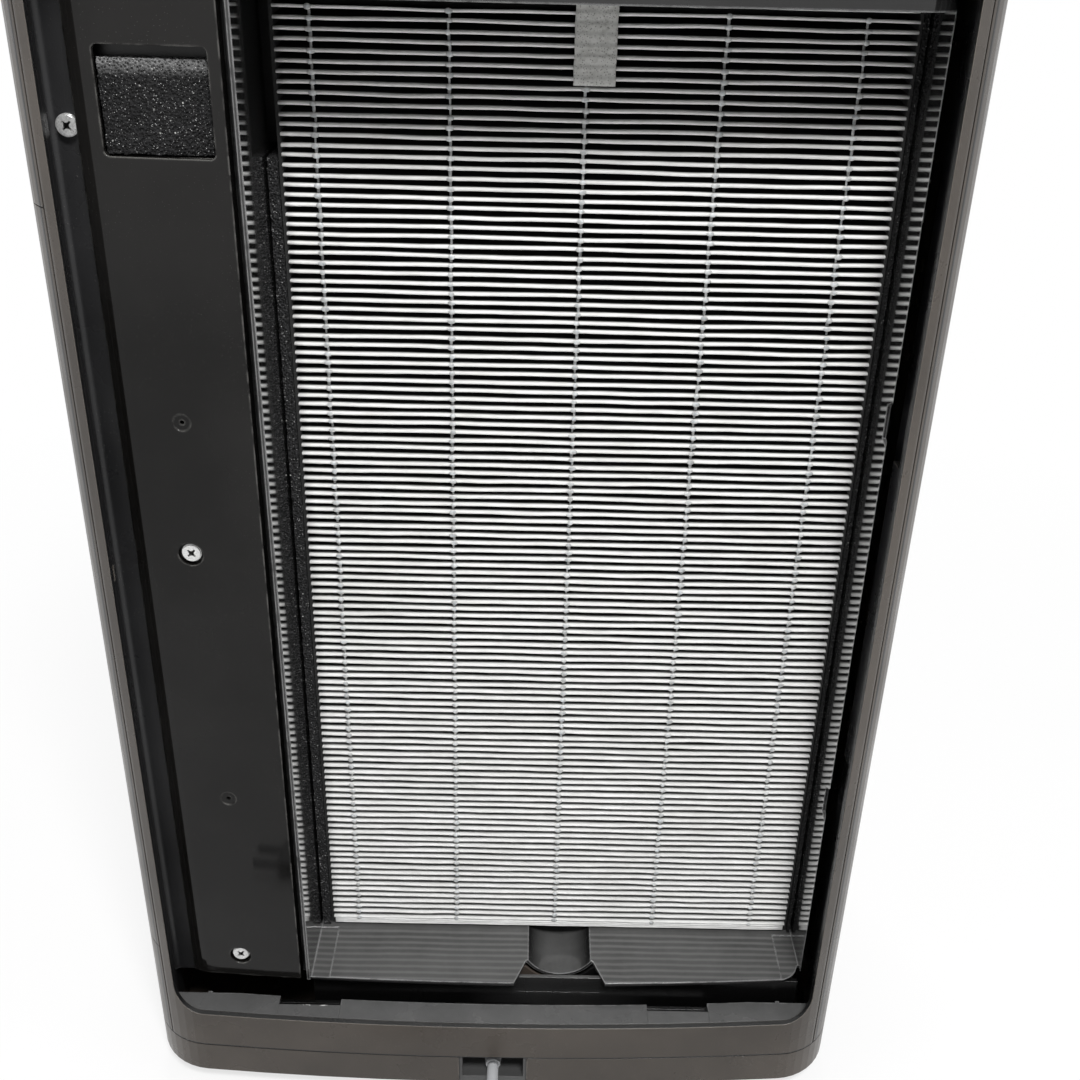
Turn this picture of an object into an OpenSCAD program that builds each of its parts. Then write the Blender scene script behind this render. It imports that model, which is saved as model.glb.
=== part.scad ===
// Tower air purifier with a humidifying stage, its rear cover taken off.
// +Z is up, the back (filter side) faces +Y, the origin is at the centre of the footprint.
// Millimetres.

/* [Casing] */
// Width of the casing
body_w = 338; // [334:1:342]
// Depth of the casing
body_d = 250; // [248:1:254]
// Overall height, feet and buttons included
body_h = 580; // [576:1:590]
// Radius of the four vertical corners
corner_r = 30; // [28:1:32]
// Radius of the gently bowed front and back
bow_r = 1900; // [1500:50:3000]
// Wall thickness of the casing
wall = 2.6; // [2.2:0.1:3]
// Height of the seam between base and casing
seam_z = 26.4; // [24:0.2:29]
// Height of the ledge that the rear cover stands on
ledge_z = 46.7; // [45:0.1:48]
// Width of the casing's strips beside the rear opening
strip_w = 15; // [14:0.5:17]
// Height of the casing's band over the rear opening
top_band = 50; // [44:1:60]
// Corner radius of the rear opening
opening_r = 14; // [8:1:20]

/* [Filter well] */
// From the casing's free side to the well
free_side = 17.2; // [16.5:0.1:18]
// From the casing's tank side to the well
tank_side = 79.2; // [78.5:0.1:80]
// Top of the shelf under the filters
shelf_z = 57.8; // [57:0.1:58.5]
// From the top of the product down to the header over the filters
header_drop = 80.5; // [78:0.5:83]
// Thickness of the well's walls
well_wall = 1.6; // [1.2:0.1:2]

/* [Filters] */
// Distance between pleats
pleat_pitch = 3.685; // [3.4:0.005:4]
// Depth of the particle filter
hepa_d = 32; // [28:1:34]
// From the casing's back to the rear face of the pleats
filter_set = 55; // [53:0.5:56]
// Thickness of the pleated paper
paper = 0.4; // [0.3:0.05:0.55]
// Spacing of the glue beads
bead_gap = 50; // [40:1:52]
// Thickness of the deodorising filter
carbon_d = 9; // [6:0.5:9]
// Size of the deodorising filter's cells
cell = 19; // [16:1:26]

/* [Fan] */
// Width of the fan chamber beyond the rotor, both sides together
scroll_room = 75; // [75:1:90]
// Length of the rotor's blades
rotor_len = 46; // [40:1:47]
// Number of blades
blades = 36; // [24:1:44]
// From the top of the product down to the rotor's axis
fan_drop = 290; // [280:1:300]

/* [Humidifier] */
// Length of the tray beyond the wheel, both ends together
wheel_room = 33; // [31:1:50]
// Height of the wheel's axis
wheel_z = 182; // [178:1:186]
// Teeth on the wheel's rim
wheel_teeth = 96; // [96:1:96]
// Teeth on the drive pinion
pinion_teeth = 14; // [14:1:14]

/* [Controls] */
// Number of buttons
buttons = 5; // [5:1:5]
// Distance between the buttons
button_gap = 24; // [20:1:26]
// Radius of a button
button_r = 6; // [5:0.5:7]
// Travel of a button
button_travel = 0.8; // [0.5:0.1:1]

/* [Cord] */
// Diameter of the cord
cord_d = 5.5; // [5:0.1:6]
// Mean diameter of the coiled part
coil_d = 64; // [58:1:66]

/* [Hidden] */

$fn = 64;
eps = 0.01;
far = 900; // reaches past the casing in a cut

casing = "#554c46";
inner_black = "#1b1b1c";
gloss_black = "#242322";
pale = "#e9e9e4";
steel = "#c9cbcc";

// Seams and clearances
seam = 0.4;      // visible joint lines between casing parts
slide = 0.4;     // sliding filters in the well
spin = 0.05;     // radial running fit of shafts
foot_h = 4;      // feet below the base
side_x = body_w / 2;        // sides, back and front of the casing
back = body_d / 2;
rear_zone = back - 45;      // the rear opening's region lies beyond this depth
cover_top = body_h - 0.8;   // top surface of the casing, under the buttons
shell_top = body_h - 34;    // joint between the casing and its top cover
opening_inset = 15.5;       // well mouth behind the casing's plan outline
opening_x = side_x - strip_w;
opening_top = body_h - top_band;
well_x0 = -side_x + free_side;
well_x1 = side_x - tank_side;
header_z = body_h - header_drop;

// Depths from the pleats forwards, and the levels under them
hepa_y = back - filter_set;
hepa_y0 = hepa_y - hepa_d;
well_back_t = 3;
well_back = hepa_y0 - 1 - carbon_d - 0.5 - well_back_t;
deck_z = 60;
deck_t = 3;
deck_back = well_back - 1.5;
wheel_w = 20;
tray_y1 = deck_back - 0.5;
tray_y0 = tray_y1 - wheel_w - 8;
scroll_y1 = tray_y0 - 4.5;
scroll_y0 = scroll_y1 - rotor_len - 10;
panel_y0 = -back + 15;
panel_y1 = panel_y0 + 34;

// Sideways places of the fan chamber, its outlet and rotor
bulkhead_x0 = -side_x + 13;
bulkhead_x1 = well_x1 - 0.8;
bulkhead_top = shell_top + 12;
outlet_x0 = bulkhead_x0 + 56;
outlet_x1 = bulkhead_x1 - 4;
rotor_r = (bulkhead_x1 - bulkhead_x0 - scroll_room) / 2;
rotor_gap = 8;        // between rotor and scroll at the tongue
growth = 37;          // of the scroll, from its tongue to its exit
fan_x = outlet_x1 - growth - rotor_gap - rotor_r;
fan_z = body_h - fan_drop;

// Plan outline: corner arcs that run smoothly into bowed front and back faces
arc_steps = 10;
bow_steps = 10;
corner_cx = side_x - corner_r;
bow_cy = back - bow_r;
corner_cy = bow_cy + sqrt(pow(bow_r - corner_r, 2) - pow(corner_cx, 2));
corner_end = atan2(corner_cy - bow_cy, corner_cx);
split_x = corner_cx + corner_r * cos(48.5);   // joint between side shell and rear frame

function ring(cx, cy, r, a0, a1, n) =
    [for (k = [0:n]) let (a = a0 + (a1 - a0) * k / n) [cx + r * cos(a), cy + r * sin(a)]];
function back_half(i) = concat(
    ring(corner_cx, corner_cy, corner_r - i, 0, corner_end, arc_steps),
    [for (k = [1:bow_steps - 1]) let (a = corner_end + (180 - 2 * corner_end) * k / bow_steps)
        [(bow_r - i) * cos(a), bow_cy + (bow_r - i) * sin(a)]],
    ring(-corner_cx, corner_cy, corner_r - i, 180 - corner_end, 180, arc_steps));
function outline(i) = concat(back_half(i), [for (p = back_half(i)) -p]);
// Depth of the outline's back face at a sideways place
function back_y(x, i) = bow_cy + sqrt(pow(bow_r - i, 2) - x * x);

module plan(i = 0) polygon(outline(i));
module slab(i, z0, z1) translate([0, 0, z0]) linear_extrude(z1 - z0) plan(i);
module shell(i, t, z0, z1)
    translate([0, 0, z0]) linear_extrude(z1 - z0) difference() {
        plan(i);
        plan(i + t);
    }
// Box between two corners
module box(x0, x1, y0, y1, z0, z1) translate([x0, y0, z0]) cube([x1 - x0, y1 - y0, z1 - z0]);
// Profile drawn in X and Z, extruded from y0 to y1
module along_y(y0, y1) translate([0, y1, 0]) rotate([90, 0, 0]) linear_extrude(y1 - y0) children();
// Profile drawn in Y and Z, extruded from x0 to x1
module along_x(x0, x1)
    translate([x0, 0, 0]) rotate([90, 0, 90]) linear_extrude(x1 - x0) children();
module rod_y(x, z, r, y0, y1) translate([x, y1, z]) rotate([90, 0, 0]) cylinder(r = r, h = y1 - y0);
module rod_x(y, z, r, x0, x1) translate([x0, y, z]) rotate([0, 90, 0]) cylinder(r = r, h = x1 - x0);
module rounded_rect(x0, x1, z0, z1, r) {
    translate([x0 + r, z0]) square([x1 - x0 - 2 * r, z1 - z0]);
    translate([x0, z0 + r]) square([x1 - x0, z1 - z0 - 2 * r]);
    for (x = [x0 + r, x1 - r], z = [z0 + r, z1 - r]) translate([x, z]) circle(r);
}

// ---- Base ----
base_edge = 5;       // height of the base's lower chamfer
recess_x = 16.5;     // half width of the cord recess
recess_z = 8;        // floor of the cord recess
recess_y = back - 29; // where the cord recess ends inside
gland_z = 15.5;      // height of the cord's exit
tongue = 3;          // lip of the base inside the casing
foot_x = side_x - 49;
foot_y = back - 40;
foot_r = 10;
stem_r = 4.9;

module base_tray() color(casing) difference() {
    union() {
        hull() {
            slab(base_edge, foot_h, foot_h + eps);
            slab(0, foot_h + base_edge, foot_h + base_edge + eps);
        }
        slab(0, foot_h + base_edge, seam_z - seam);
        shell(wall, 2, seam_z - seam, seam_z + tongue);
    }
    slab(wall + 2, foot_h + 3, far);
    box(-recess_x, recess_x, recess_y - 2, far, recess_z, far);
    for (x = [-foot_x, foot_x], y = [-foot_y, foot_y]) translate([x, y, 0])
        cylinder(r = stem_r + 0.1, h = foot_h + 2);
}

module rubber_feet() color("#1f1f1f")
    for (x = [-foot_x, foot_x], y = [-foot_y, foot_y]) translate([x, y, 0]) {
        cylinder(r = foot_r, h = foot_h);
        cylinder(r = stem_r, h = foot_h + 2);
    }

module cord_liner() color("#8b8d8e") difference() {
    box(-recess_x, recess_x, recess_y - 2, back - 1.2, recess_z, seam_z - 0.6);
    // Scooped floor that leads the cord out and down
    rod_x(back - 4, seam_z + 5, 19.5, -recess_x + 1.6, recess_x - 1.6);
    box(-recess_x + 1.6, recess_x - 1.6, recess_y + 12, far, seam_z - 7, far);
    rod_y(0, gland_z, 4.5, recess_y - 4, far);
}

// ---- Chassis inside the casing ----
chassis_inset = 6;

module chassis() color(inner_black) {
    intersection() {
        slab(chassis_inset, deck_z, deck_z + deck_t);
        box(-far, far, -far, deck_back, 0, far);
    }
    intersection() {
        shell(chassis_inset, 2, foot_h + 3, deck_z);
        box(-far, far, -far, deck_back, 0, far);
    }
    for (x = [-60, 60]) box(x - 1, x + 1, -back + 25, deck_back, foot_h + 3, deck_z);
}

// ---- Rear frame: band, side strips, returns; ledge and flange inside it ----
flange_y = back - 27.5;
flange_t = 2;
ledge_w = 14.6;       // inner edge of the ledge, inside the casing's plan outline
ledge_t = 2.4;
flange_x0 = well_x1 + 3.6;
flange_x1 = side_x - 10.4;
flange_z0 = shelf_z - 3.8;
flange_z1 = opening_top + 8;
fit = 0.2;            // between mouldings that are screwed together
ledge_x = side_x - 13.4;
cross_y = back - 20.8;
cross_t = 2;
fillet_r = 3.2;
channel_z = seam_z + 4; // floor of the channel inside the ledge
slot_x = 90;          // the rear cover's tab slots
slot_w = 30;
slot_deep = 6;
slot_y = back_y(slot_x, ledge_w) + 4.3; // outer side of the slots
latch_z = 279;
rib_z = [191, 335];   // ends of the guide rib behind the free side's strip

// Plan of the inner return behind one side strip
module return_plan() translate([side_x, back]) polygon([[-10.6, -12.4], [-10.6, -20],
    [-8.2, -24], [-8.2, -37], [-10.2, -37], [-10.2, -25], [-13, -20.5], [-13, -10.6]]);

module opening_cut() along_y(rear_zone, far)
    rounded_rect(-opening_x, opening_x, ledge_z, opening_top, opening_r);

module rear_frame() color(casing) difference() {
    union() {
        // Outer skin between the two side joints, with the opening for the rear cover
        difference() {
            intersection() {
                shell(0, wall, seam_z, shell_top);
                box(-split_x + seam / 2, split_x - seam / 2, rear_zone, far, 0, far);
            }
            opening_cut();
        }
        // Returns behind the side strips
        for (s = [0, 1]) mirror([s, 0, 0])
            translate([0, 0, seam_z + tongue + 1])
                linear_extrude(shell_top - seam_z - tongue - 1) return_plan();
        // Upper cross wall under the top cover
        box(-side_x + 10, side_x - 10, cross_y, cross_y + cross_t, opening_top + 4, shell_top);
        // Guide rib behind the free side's strip
        translate([-side_x, back, 0]) {
            box(11.8, 13, -29, -20.4, rib_z[0], rib_z[1]);
            box(9.5, 13, -29, -27, rib_z[0], rib_z[1]);
        }
    }
    // Latch slot in the inner return
    box(side_x - 14, side_x - 7, cross_y + 1.8, cross_y + 4.8, latch_z, latch_z + 7);
}

// Ledge that the rear cover stands on, with the channel behind it
module cover_ledge() color(casing) difference() {
    union() {
        intersection() {
            shell(wall + fit, ledge_w - wall - fit, ledge_z - ledge_t, ledge_z);
            box(-ledge_x, ledge_x, cross_y + cross_t, far, 0, far);
        }
        intersection() {
            slab(wall + fit, channel_z, channel_z + 2);
            box(-ledge_x, ledge_x, cross_y, far, 0, far);
        }
        box(-ledge_x, ledge_x, cross_y, cross_y + cross_t, channel_z, ledge_z - slot_deep);
        // Webs between the channel's floor and the ledge
        for (x = [-ledge_x + 15.6, -60, 60, ledge_x - 15.6]) intersection() {
            slab(wall + fit, channel_z, ledge_z);
            box(x - 1, x + 1, back_y(x, ledge_w), far, 0, far);
        }
    }
    // Tab slots of the rear cover, closed on the outside by the catches
    for (s = [-1, 1]) translate([s * slot_x, slot_y, 0])
        box(-slot_w / 2, slot_w / 2, -7.4, far, ledge_z - slot_deep, far);
}

// Catches that the rear cover's tabs hook behind, one bar with a lip at each slot
module cover_catches() color(casing) for (s = [0, 1]) mirror([s, 0, 0]) {
    intersection() {
        shell(wall + fit, ledge_w - wall - fit, ledge_z - ledge_t, ledge_z);
        box(slot_x - slot_w / 2, slot_x + slot_w / 2, slot_y, far, 0, far);
    }
    box(slot_x - slot_w / 2, slot_x + slot_w / 2, slot_y, slot_y + 1.2,
        ledge_z - slot_deep + 1, ledge_z);
}

// Flange that carries the side cover, with a rounded inner corner
module side_flange() color(casing) difference() {
    union() {
        box(flange_x0, flange_x1, flange_y - flange_t, flange_y, flange_z0, flange_z1);
        translate([0, 0, flange_z0]) linear_extrude(flange_z1 - flange_z0) difference() {
            translate([flange_x1 - fillet_r, flange_y - eps]) square(fillet_r);
            translate([flange_x1 - fillet_r, flange_y + fillet_r]) circle(fillet_r);
        }
        for (p = cover_holes) rod_y(p[0], p[1], 3.6, flange_y - eps, flange_y + 2.4);
    }
    // Sensor window and wiring hole
    box(window[0] + 2.3, window[1] - 1.8, flange_y - 4, flange_y + eps,
        window[2] + 3, window[3] - 6.5);
    box(flange_x0 + 6.6, flange_x0 + 36.6, flange_y - 4, flange_y + eps, 200, 250);
    for (p = cover_holes) rod_y(p[0], p[1], 1.25, flange_y - 4, flange_y + 4);
    rod_y(flange_screw[0], flange_screw[1], 1.25, flange_y - 4, flange_y + 1);
}

// ---- Side shell: both sides and the wall behind the front panel ----
front_recess = 3.2;
front_rib = 2.4;      // wall behind the front panel
front_x = side_x - 19;
front_z0 = 38;
grip_y1 = well_back - 4.5;
grip_y0 = grip_y1 - 70;
grip_z1 = body_h - 80;
grip_z0 = grip_z1 - 30;
grip_deep = 18;
grip_rim = 9;    // flush rim of the insert round the hand's opening
grip_flange = 2; // laps the inside of the wall
door_z0 = 83;
door_z1 = grip_z0 - 40;
door_y0 = scroll_y0;

module side_shell() color(casing) difference() {
    union() {
        shell(0, wall, seam_z, shell_top);
        intersection() {
            shell(0, front_recess + front_rib, seam_z, shell_top - 5);
            box(-front_x - 4, front_x + 4, -far, -rear_zone, 0, far);
        }
    }
    // Rear opening up to the joint with the rear frame
    box(-split_x - seam / 2, split_x + seam / 2, rear_zone, far, 0, far);
    // Recess for the front panel
    difference() {
        box(-front_x, front_x, -far, -rear_zone, front_z0, shell_top - 6);
        slab(front_recess, 0, far);
    }
    // Window for the tank door
    box(corner_cx, far, door_y0 - seam, far, door_z0 - seam, door_z1 + seam);
    // Holes for the inserts of the two carry grips
    grip_box(-far, far, grip_rim + seam);
    // Lip over the base tray's tongue
    shell(wall - seam, 4, 0, seam_z + tongue + seam);
}

module front_panel() color(gloss_black) intersection() {
    shell(0, front_recess, front_z0 + seam, shell_top - 6 - seam);
    box(-front_x + seam, front_x - seam, -far, -rear_zone, 0, far);
}

module grip_box(x0, x1, grow)
    box(x0, x1, grip_y0 - grow, grip_y1 + grow, grip_z0 - grow, grip_z1 + grow);

module carry_grips() color(inner_black) for (s = [0, 1]) mirror([s, 0, 0]) difference() {
    union() {
        grip_box(side_x - grip_deep - 2, side_x - wall, 2);
        grip_box(side_x - wall - grip_flange, side_x - wall, grip_rim + grip_flange);
        grip_box(side_x - wall, side_x, grip_rim);
    }
    grip_box(side_x - grip_deep, side_x + 1, 0);
}

// ---- Top cover, outlet and louver ----
outlet_y0 = panel_y1 + 12;
outlet_y1 = scroll_y1;
louver_y = outlet_y1 - 3; // hinge axis
louver_z = cover_top - 2.6;
louver_r = 2.2;
pin_r = 1.5;
outlet_wall = 5;
vane_gap = 34;

module top_cover() color(casing) difference() {
    union() {
        difference() {
            union() {
                slab(0, shell_top, cover_top - 8);
                hull() {
                    slab(0, cover_top - 8 - eps, cover_top - 8);
                    slab(2.4, cover_top - 2.4, cover_top - 2.4 + eps);
                    slab(8, cover_top - eps, cover_top);
                }
            }
            slab(wall, 0, cover_top - 9);
            slab(10, 0, cover_top - 3);
        }
        box(-panel_x - 2, panel_x + 2, panel_y0 - 2, panel_y1 + 2, cover_top - 6, cover_top - 1);
        box(outlet_x0 - outlet_wall, outlet_x1 + outlet_wall, outlet_y0 - outlet_wall,
            outlet_y1 + outlet_wall, cover_top - 20, cover_top - 1);
        shell(wall + 0.2, 1.8, shell_top - 4, shell_top + 1);
        shell(wall - 0.4, 2.4, shell_top, shell_top + 1);
    }
    box(outlet_x0, outlet_x1, outlet_y0, outlet_y1, 0, far);
    rod_x(louver_y, louver_z, pin_r + spin, outlet_x0 - 4, outlet_x1 + 4);
    // Pocket and shafts of the control panel
    box(-panel_x, panel_x, panel_y0, panel_y1, cover_top - panel_t, far);
    box(-panel_x + 3, panel_x - 3, panel_y0 + 3, panel_y1 - 3, 0, far);
    // Room for the tabs inside the shell's grip of the rear opening
    box(-split_x, split_x, back - 25, back - 6, shell_top - 5, shell_top);
}

module outlet_grille() color(inner_black) {
    difference() {
        box(outlet_x0, outlet_x1, outlet_y0, outlet_y1, cover_top - 18, cover_top - 13);
        box(outlet_x0 + 2, outlet_x1 - 2, outlet_y0 + 2, outlet_y1 - 2, 0, far);
    }
    for (k = [1:4]) let (y = outlet_y0 + (outlet_y1 - outlet_y0) * k / 5)
        box(outlet_x0 + 1, outlet_x1 - 1, y - 0.8, y + 0.8, cover_top - 18, cover_top - 13);
    for (k = [1:5]) let (x = outlet_x0 + (outlet_x1 - outlet_x0) * k / 6)
        box(x - 1, x + 1, outlet_y0 + 1, outlet_y1 - 1, cover_top - 17.5, cover_top - 13.5);
}

module louver_flap() color(gloss_black) {
    box(outlet_x0 + 0.8, outlet_x1 - 0.8, outlet_y0 + 0.8, louver_y, cover_top - 3, cover_top);
    rod_x(louver_y, louver_z, louver_r, outlet_x0 + 0.8, outlet_x1 - 0.8);
    rod_x(louver_y, louver_z, pin_r, outlet_x0 - 3.5, outlet_x1 + 3.5);
    // Guide vanes under the flap
    for (x = [outlet_x0 + 32:vane_gap:outlet_x1 - 25]) along_x(x - 0.8, x + 0.8)
        polygon([[outlet_y0 + 8, cover_top - 2.9], [outlet_y0 + 12, cover_top - 9],
            [louver_y - 9, cover_top - 9], [louver_y - 5, cover_top - 2.9]]);
}

// ---- Controls ----
panel_x = 72;
panel_t = 2.2;
button_y = (panel_y0 + panel_y1) / 2 - 3;
button_len = 9;
switch_h = 3.5;
board_z = body_h - button_len - button_travel - 0.1 - switch_h;

function button_x(n) = (n - (buttons - 1) / 2) * button_gap;

module control_panel() color("#101011") difference() {
    box(-panel_x + 0.2, panel_x - 0.2, panel_y0 + 0.2, panel_y1 - 0.2,
        cover_top - panel_t, cover_top);
    for (n = [0:buttons - 1]) translate([button_x(n), button_y, 0])
        cylinder(r = button_r + 0.25, h = far);
    // Windows for the indicator lamps
    for (n = [0:buttons - 1]) translate([button_x(n), button_y + 14, 0])
        cylinder(r = 1.2, h = far);
}

module button(n) color("#2d2d2e") translate([button_x(n), button_y, 0]) {
    translate([0, 0, body_h - button_len]) cylinder(r = button_r, h = button_len);
    translate([0, 0, cover_top - panel_t - 1.7]) cylinder(r = button_r + 1.2, h = 1.6);
}

module control_board() color("#1f5d3a") {
    box(-panel_x + 6, panel_x - 6, panel_y0 + 4, panel_y1 - 4, board_z - 1.6, board_z);
    for (n = [0:buttons - 1]) {
        translate([button_x(n) - 3, button_y - 3, board_z]) cube([6, 6, switch_h]);
        translate([button_x(n), button_y + 14, board_z])
            cylinder(r = 1, h = cover_top - 0.1 - board_z);
    }
    // Posts up to the cover
    for (x = [-panel_x + 7.5, panel_x - 7.5], y = [panel_y0 + 6, panel_y1 - 6])
        translate([x, y, board_z]) cylinder(r = 2, h = cover_top - panel_t - board_z);
}

// ---- Filter well ----
scoop_x = (well_x0 + well_x1) / 2 - 1;
scoop_r = 18;
scoop_drop = 9;
scoop_lip_y = back - 33;
skirt_y = back - 26;
shelf_inset = 17.9;   // the shelf's front edge behind the casing's plan outline
latches = [152, 340];

module well_outline(z0, z1) intersection() {
    slab(opening_inset, z0, z1);
    box(well_x0 - well_wall, well_x1 + well_wall, well_back, far, z0 - 1, z1 + 1);
}

module filter_well() color(inner_black) difference() {
    union() {
        // Shelf, header and the two upright walls
        difference() {
            well_outline(shelf_z - 2, header_z + 2);
            box(well_x0, well_x1, well_back + well_back_t, far, shelf_z, header_z);
            box(well_x0 + 8, well_x1 - 8, 0, far, shelf_z + 8, header_z - 8);
        }
        // Thumb scoop under the filter's lower edge
        intersection() {
            rod_y(scoop_x, shelf_z + scoop_r - scoop_drop, scoop_r + well_wall, hepa_y - 20,
                scoop_lip_y);
            box(scoop_x - 30, scoop_x + 30, hepa_y - 30, far, shelf_z - 20, shelf_z - 1);
        }
        // Skirt that carries the shelf, with a gap over the cord recess
        box(well_x0 + 1.8, well_x1, skirt_y, skirt_y + 2, seam_z + tongue + 8, shelf_z - 1);
        for (x = [[well_x0 + 1.8, -recess_x - 3.5], [recess_x + 3.5, well_x1]])
            box(x[0], x[1], skirt_y, skirt_y + 2, foot_h + 3, shelf_z - 1);
        // Face over the mouth
        intersection() {
            shell(opening_inset, 2, header_z, shell_top - 14);
            box(well_x0 - well_wall, well_x1 + well_wall, rear_zone, far, 0, far);
        }
        box(well_x0 - well_wall, well_x1 + well_wall, scoop_lip_y - 2, scoop_lip_y, header_z,
            shell_top - 14);
    }
    rod_y(scoop_x, shelf_z + scoop_r - scoop_drop, scoop_r, hepa_y - 21, far);
    // Finger cut in the shelf's front edge
    translate([scoop_x, scoop_lip_y, shelf_z - 12]) linear_extrude(12 + 1)
        polygon([[16.5, 0], [24.5, 20], [-24.5, 20], [-16.5, 0]]);
    // The shelf ends a little inside the mouth
    intersection() {
        shell(0, shelf_inset, shelf_z - 2, shelf_z);
        box(-far, far, scoop_lip_y, far, 0, far);
    }
    // Lower ends of the shelf beside the gaskets
    box(well_x0, well_x0 + 10, hepa_y + 2, far, shelf_z - 0.5, shelf_z + 1);
    box(well_x1 - 9, well_x1, hepa_y + 2, far, shelf_z - 0.5, shelf_z + 1);
    // Latch notches in the free wall
    for (z = latches) translate([0, back, z]) along_x(well_x0 - 3, well_x0 + eps)
        polygon([[-15, -2], [-15, 26], [-28, 20], [-35, 16], [-35, 2]]);
}

module well_grille() color(inner_black) {
    x0 = well_x0 + 8;
    x1 = well_x1 - 8;
    z0 = shelf_z + 8;
    z1 = header_z - 8;
    nx = 8;
    nz = 15;
    for (k = [1:nx - 1]) let (x = x0 + (x1 - x0) * k / nx)
        box(x - 1.2, x + 1.2, well_back, well_back + well_back_t, z0, z1);
    for (k = [1:nz - 1]) let (z = z0 + (z1 - z0) * k / nz)
        box(x0, x1, well_back + 0.5, well_back + well_back_t - 0.5, z - 1, z + 1);
}

// ---- Particle filter ----
hepa_x0 = well_x0 + 3.8;
hepa_x1 = well_x1 - 6.3;
hepa_z0 = shelf_z + 3.2;
frame_lip = 1.2;  // of the card frame, over the pleats
pleat_count = floor((header_z - slide - frame_lip - hepa_z0 - 1.8) / pleat_pitch); // as fit
hepa_z1 = hepa_z0 + 1.2 + pleat_count * pleat_pitch + 0.6;
hepa_top = hepa_z1 + frame_lip;
tip_w = 0.62;     // half width of a pleat's tip
foam_x0 = well_x0 + slide;
foam_x1 = well_x1 - slide;
hepa_bottom = shelf_z + 0.1;

function pleat_z(k) = hepa_z0 + 1.8 + k * pleat_pitch;

module hepa_pleats() color(pale) {
    in_w = tip_w - paper;
    half = pleat_pitch / 2;
    rear = [for (k = [0:pleat_count - 1]) each let (z = pleat_z(k)) [
        [hepa_y, z - tip_w], [hepa_y, z + tip_w],
        [hepa_y0 + paper, z + half - in_w], [hepa_y0 + paper, z + half + in_w]]];
    front = [for (k = [pleat_count - 1:-1:0]) each let (z = pleat_z(k)) [
        [hepa_y0, z + half + tip_w], [hepa_y0, z + half - tip_w],
        [hepa_y - paper, z + in_w], [hepa_y - paper, z - in_w]]];
    along_x(hepa_x0, hepa_x1) polygon(concat(rear, front));
}

// Glue beads on both sides of a middle one, as many as fit
bead_x = scoop_x + 2.5;
bead_w = 1.4;
bead_side = floor((min(hepa_x1 - bead_x, bead_x - hepa_x0) - bead_w) / bead_gap);
module hepa_beads() color("#f4f4ef") for (n = [-bead_side:bead_side])
    translate([bead_x + n * bead_gap, 0, 0]) box(-bead_w / 2, bead_w / 2, hepa_y, hepa_y + 0.9,
        pleat_z(0) - tip_w, pleat_z(pleat_count - 1) + tip_w);

module hepa_frame() color("#2a2a2a") difference() {
    box(hepa_x0 - 1.2, hepa_x1 + 1.4, hepa_y0, hepa_y - 1.5, hepa_bottom, hepa_top);
    box(hepa_x0, hepa_x1, hepa_y0 - 1, hepa_y, hepa_z0, hepa_z1);
}

module hepa_gasket() color("#141414") {
    box(hepa_x1 + 1.4, foam_x1, hepa_y0, hepa_y + 0.8, hepa_bottom, hepa_top);
    box(foam_x0, hepa_x0 - 1.2, hepa_y0, hepa_y + 0.8, hepa_bottom, hepa_top);
}

tab_x0 = scoop_x - 8;
tab_w = 15.3;
tab_z0 = hepa_z1 - 28;
module hepa_pull_tab() color("#d9dad4") {
    box(tab_x0, tab_x0 + tab_w, hepa_y + 1, hepa_y + 1.5, tab_z0, hepa_top + 0.4);
    box(tab_x0, tab_x0 + tab_w, hepa_y - 20, hepa_y + 1.5, hepa_top, hepa_top + 0.4);
}

// ---- Deodorising filter ----
carbon_y0 = well_back + well_back_t + 0.5;

module carbon_frame() color(inner_black) difference() {
    box(foam_x0, foam_x1, carbon_y0, carbon_y0 + carbon_d, hepa_bottom, hepa_top);
    box(foam_x0 + 7, foam_x1 - 7, 0, far, hepa_bottom + 7, hepa_z1 - 5);
}

module carbon_core() color("#26282a") {
    x0 = foam_x0 + 7;
    x1 = foam_x1 - 7;
    z0 = hepa_bottom + 7;
    z1 = hepa_z1 - 5;
    row = cell * sqrt(3) / 2;
    nx = floor((x1 - x0 - cell) / cell);
    nz = floor((z1 - z0 - cell) / row);
    along_y(carbon_y0 + 1, carbon_y0 + carbon_d - 1) difference() {
        translate([x0, z0]) square([x1 - x0, z1 - z0]);
        for (j = [0:nz], i = [0:nx])
            translate([x0 + cell * (0.6 + i + (j % 2) / 2) - (j % 2 == 1 && i == nx ? far : 0),
                z0 + cell / 2 + 1 + j * row])
                rotate(30) circle(r = (cell - 2) / sqrt(3), $fn = 6);
    }
}

// ---- Side cover with sensor window ----
cover_x0 = well_x1 + 4.4;
cover_x1 = side_x - 21.8;
cover_z0 = shelf_z + 1.2;
cover_z1 = opening_top - 4;
cover_inset = 15;
cover_t = 2;
window = [cover_x0 + 4.5, cover_x1 - 9.4, cover_z1 - 79, cover_z1 - 42.5];
cover_holes = [[cover_x0 + 29.9, cover_z0 + 232.3], [cover_x0 + 28.8, cover_z0 + 12.7]];
flange_screw = [flange_x1 - 7, window[2] + 9];
pips = [[cover_x0 + 27.4, cover_z0 + 289.4], [cover_x0 + 25.9, cover_z0 + 108.4]];
head_r = 4;
head_h = 2.2;
seat_y = flange_y + 5.1; // face under the recessed screw heads

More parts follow.
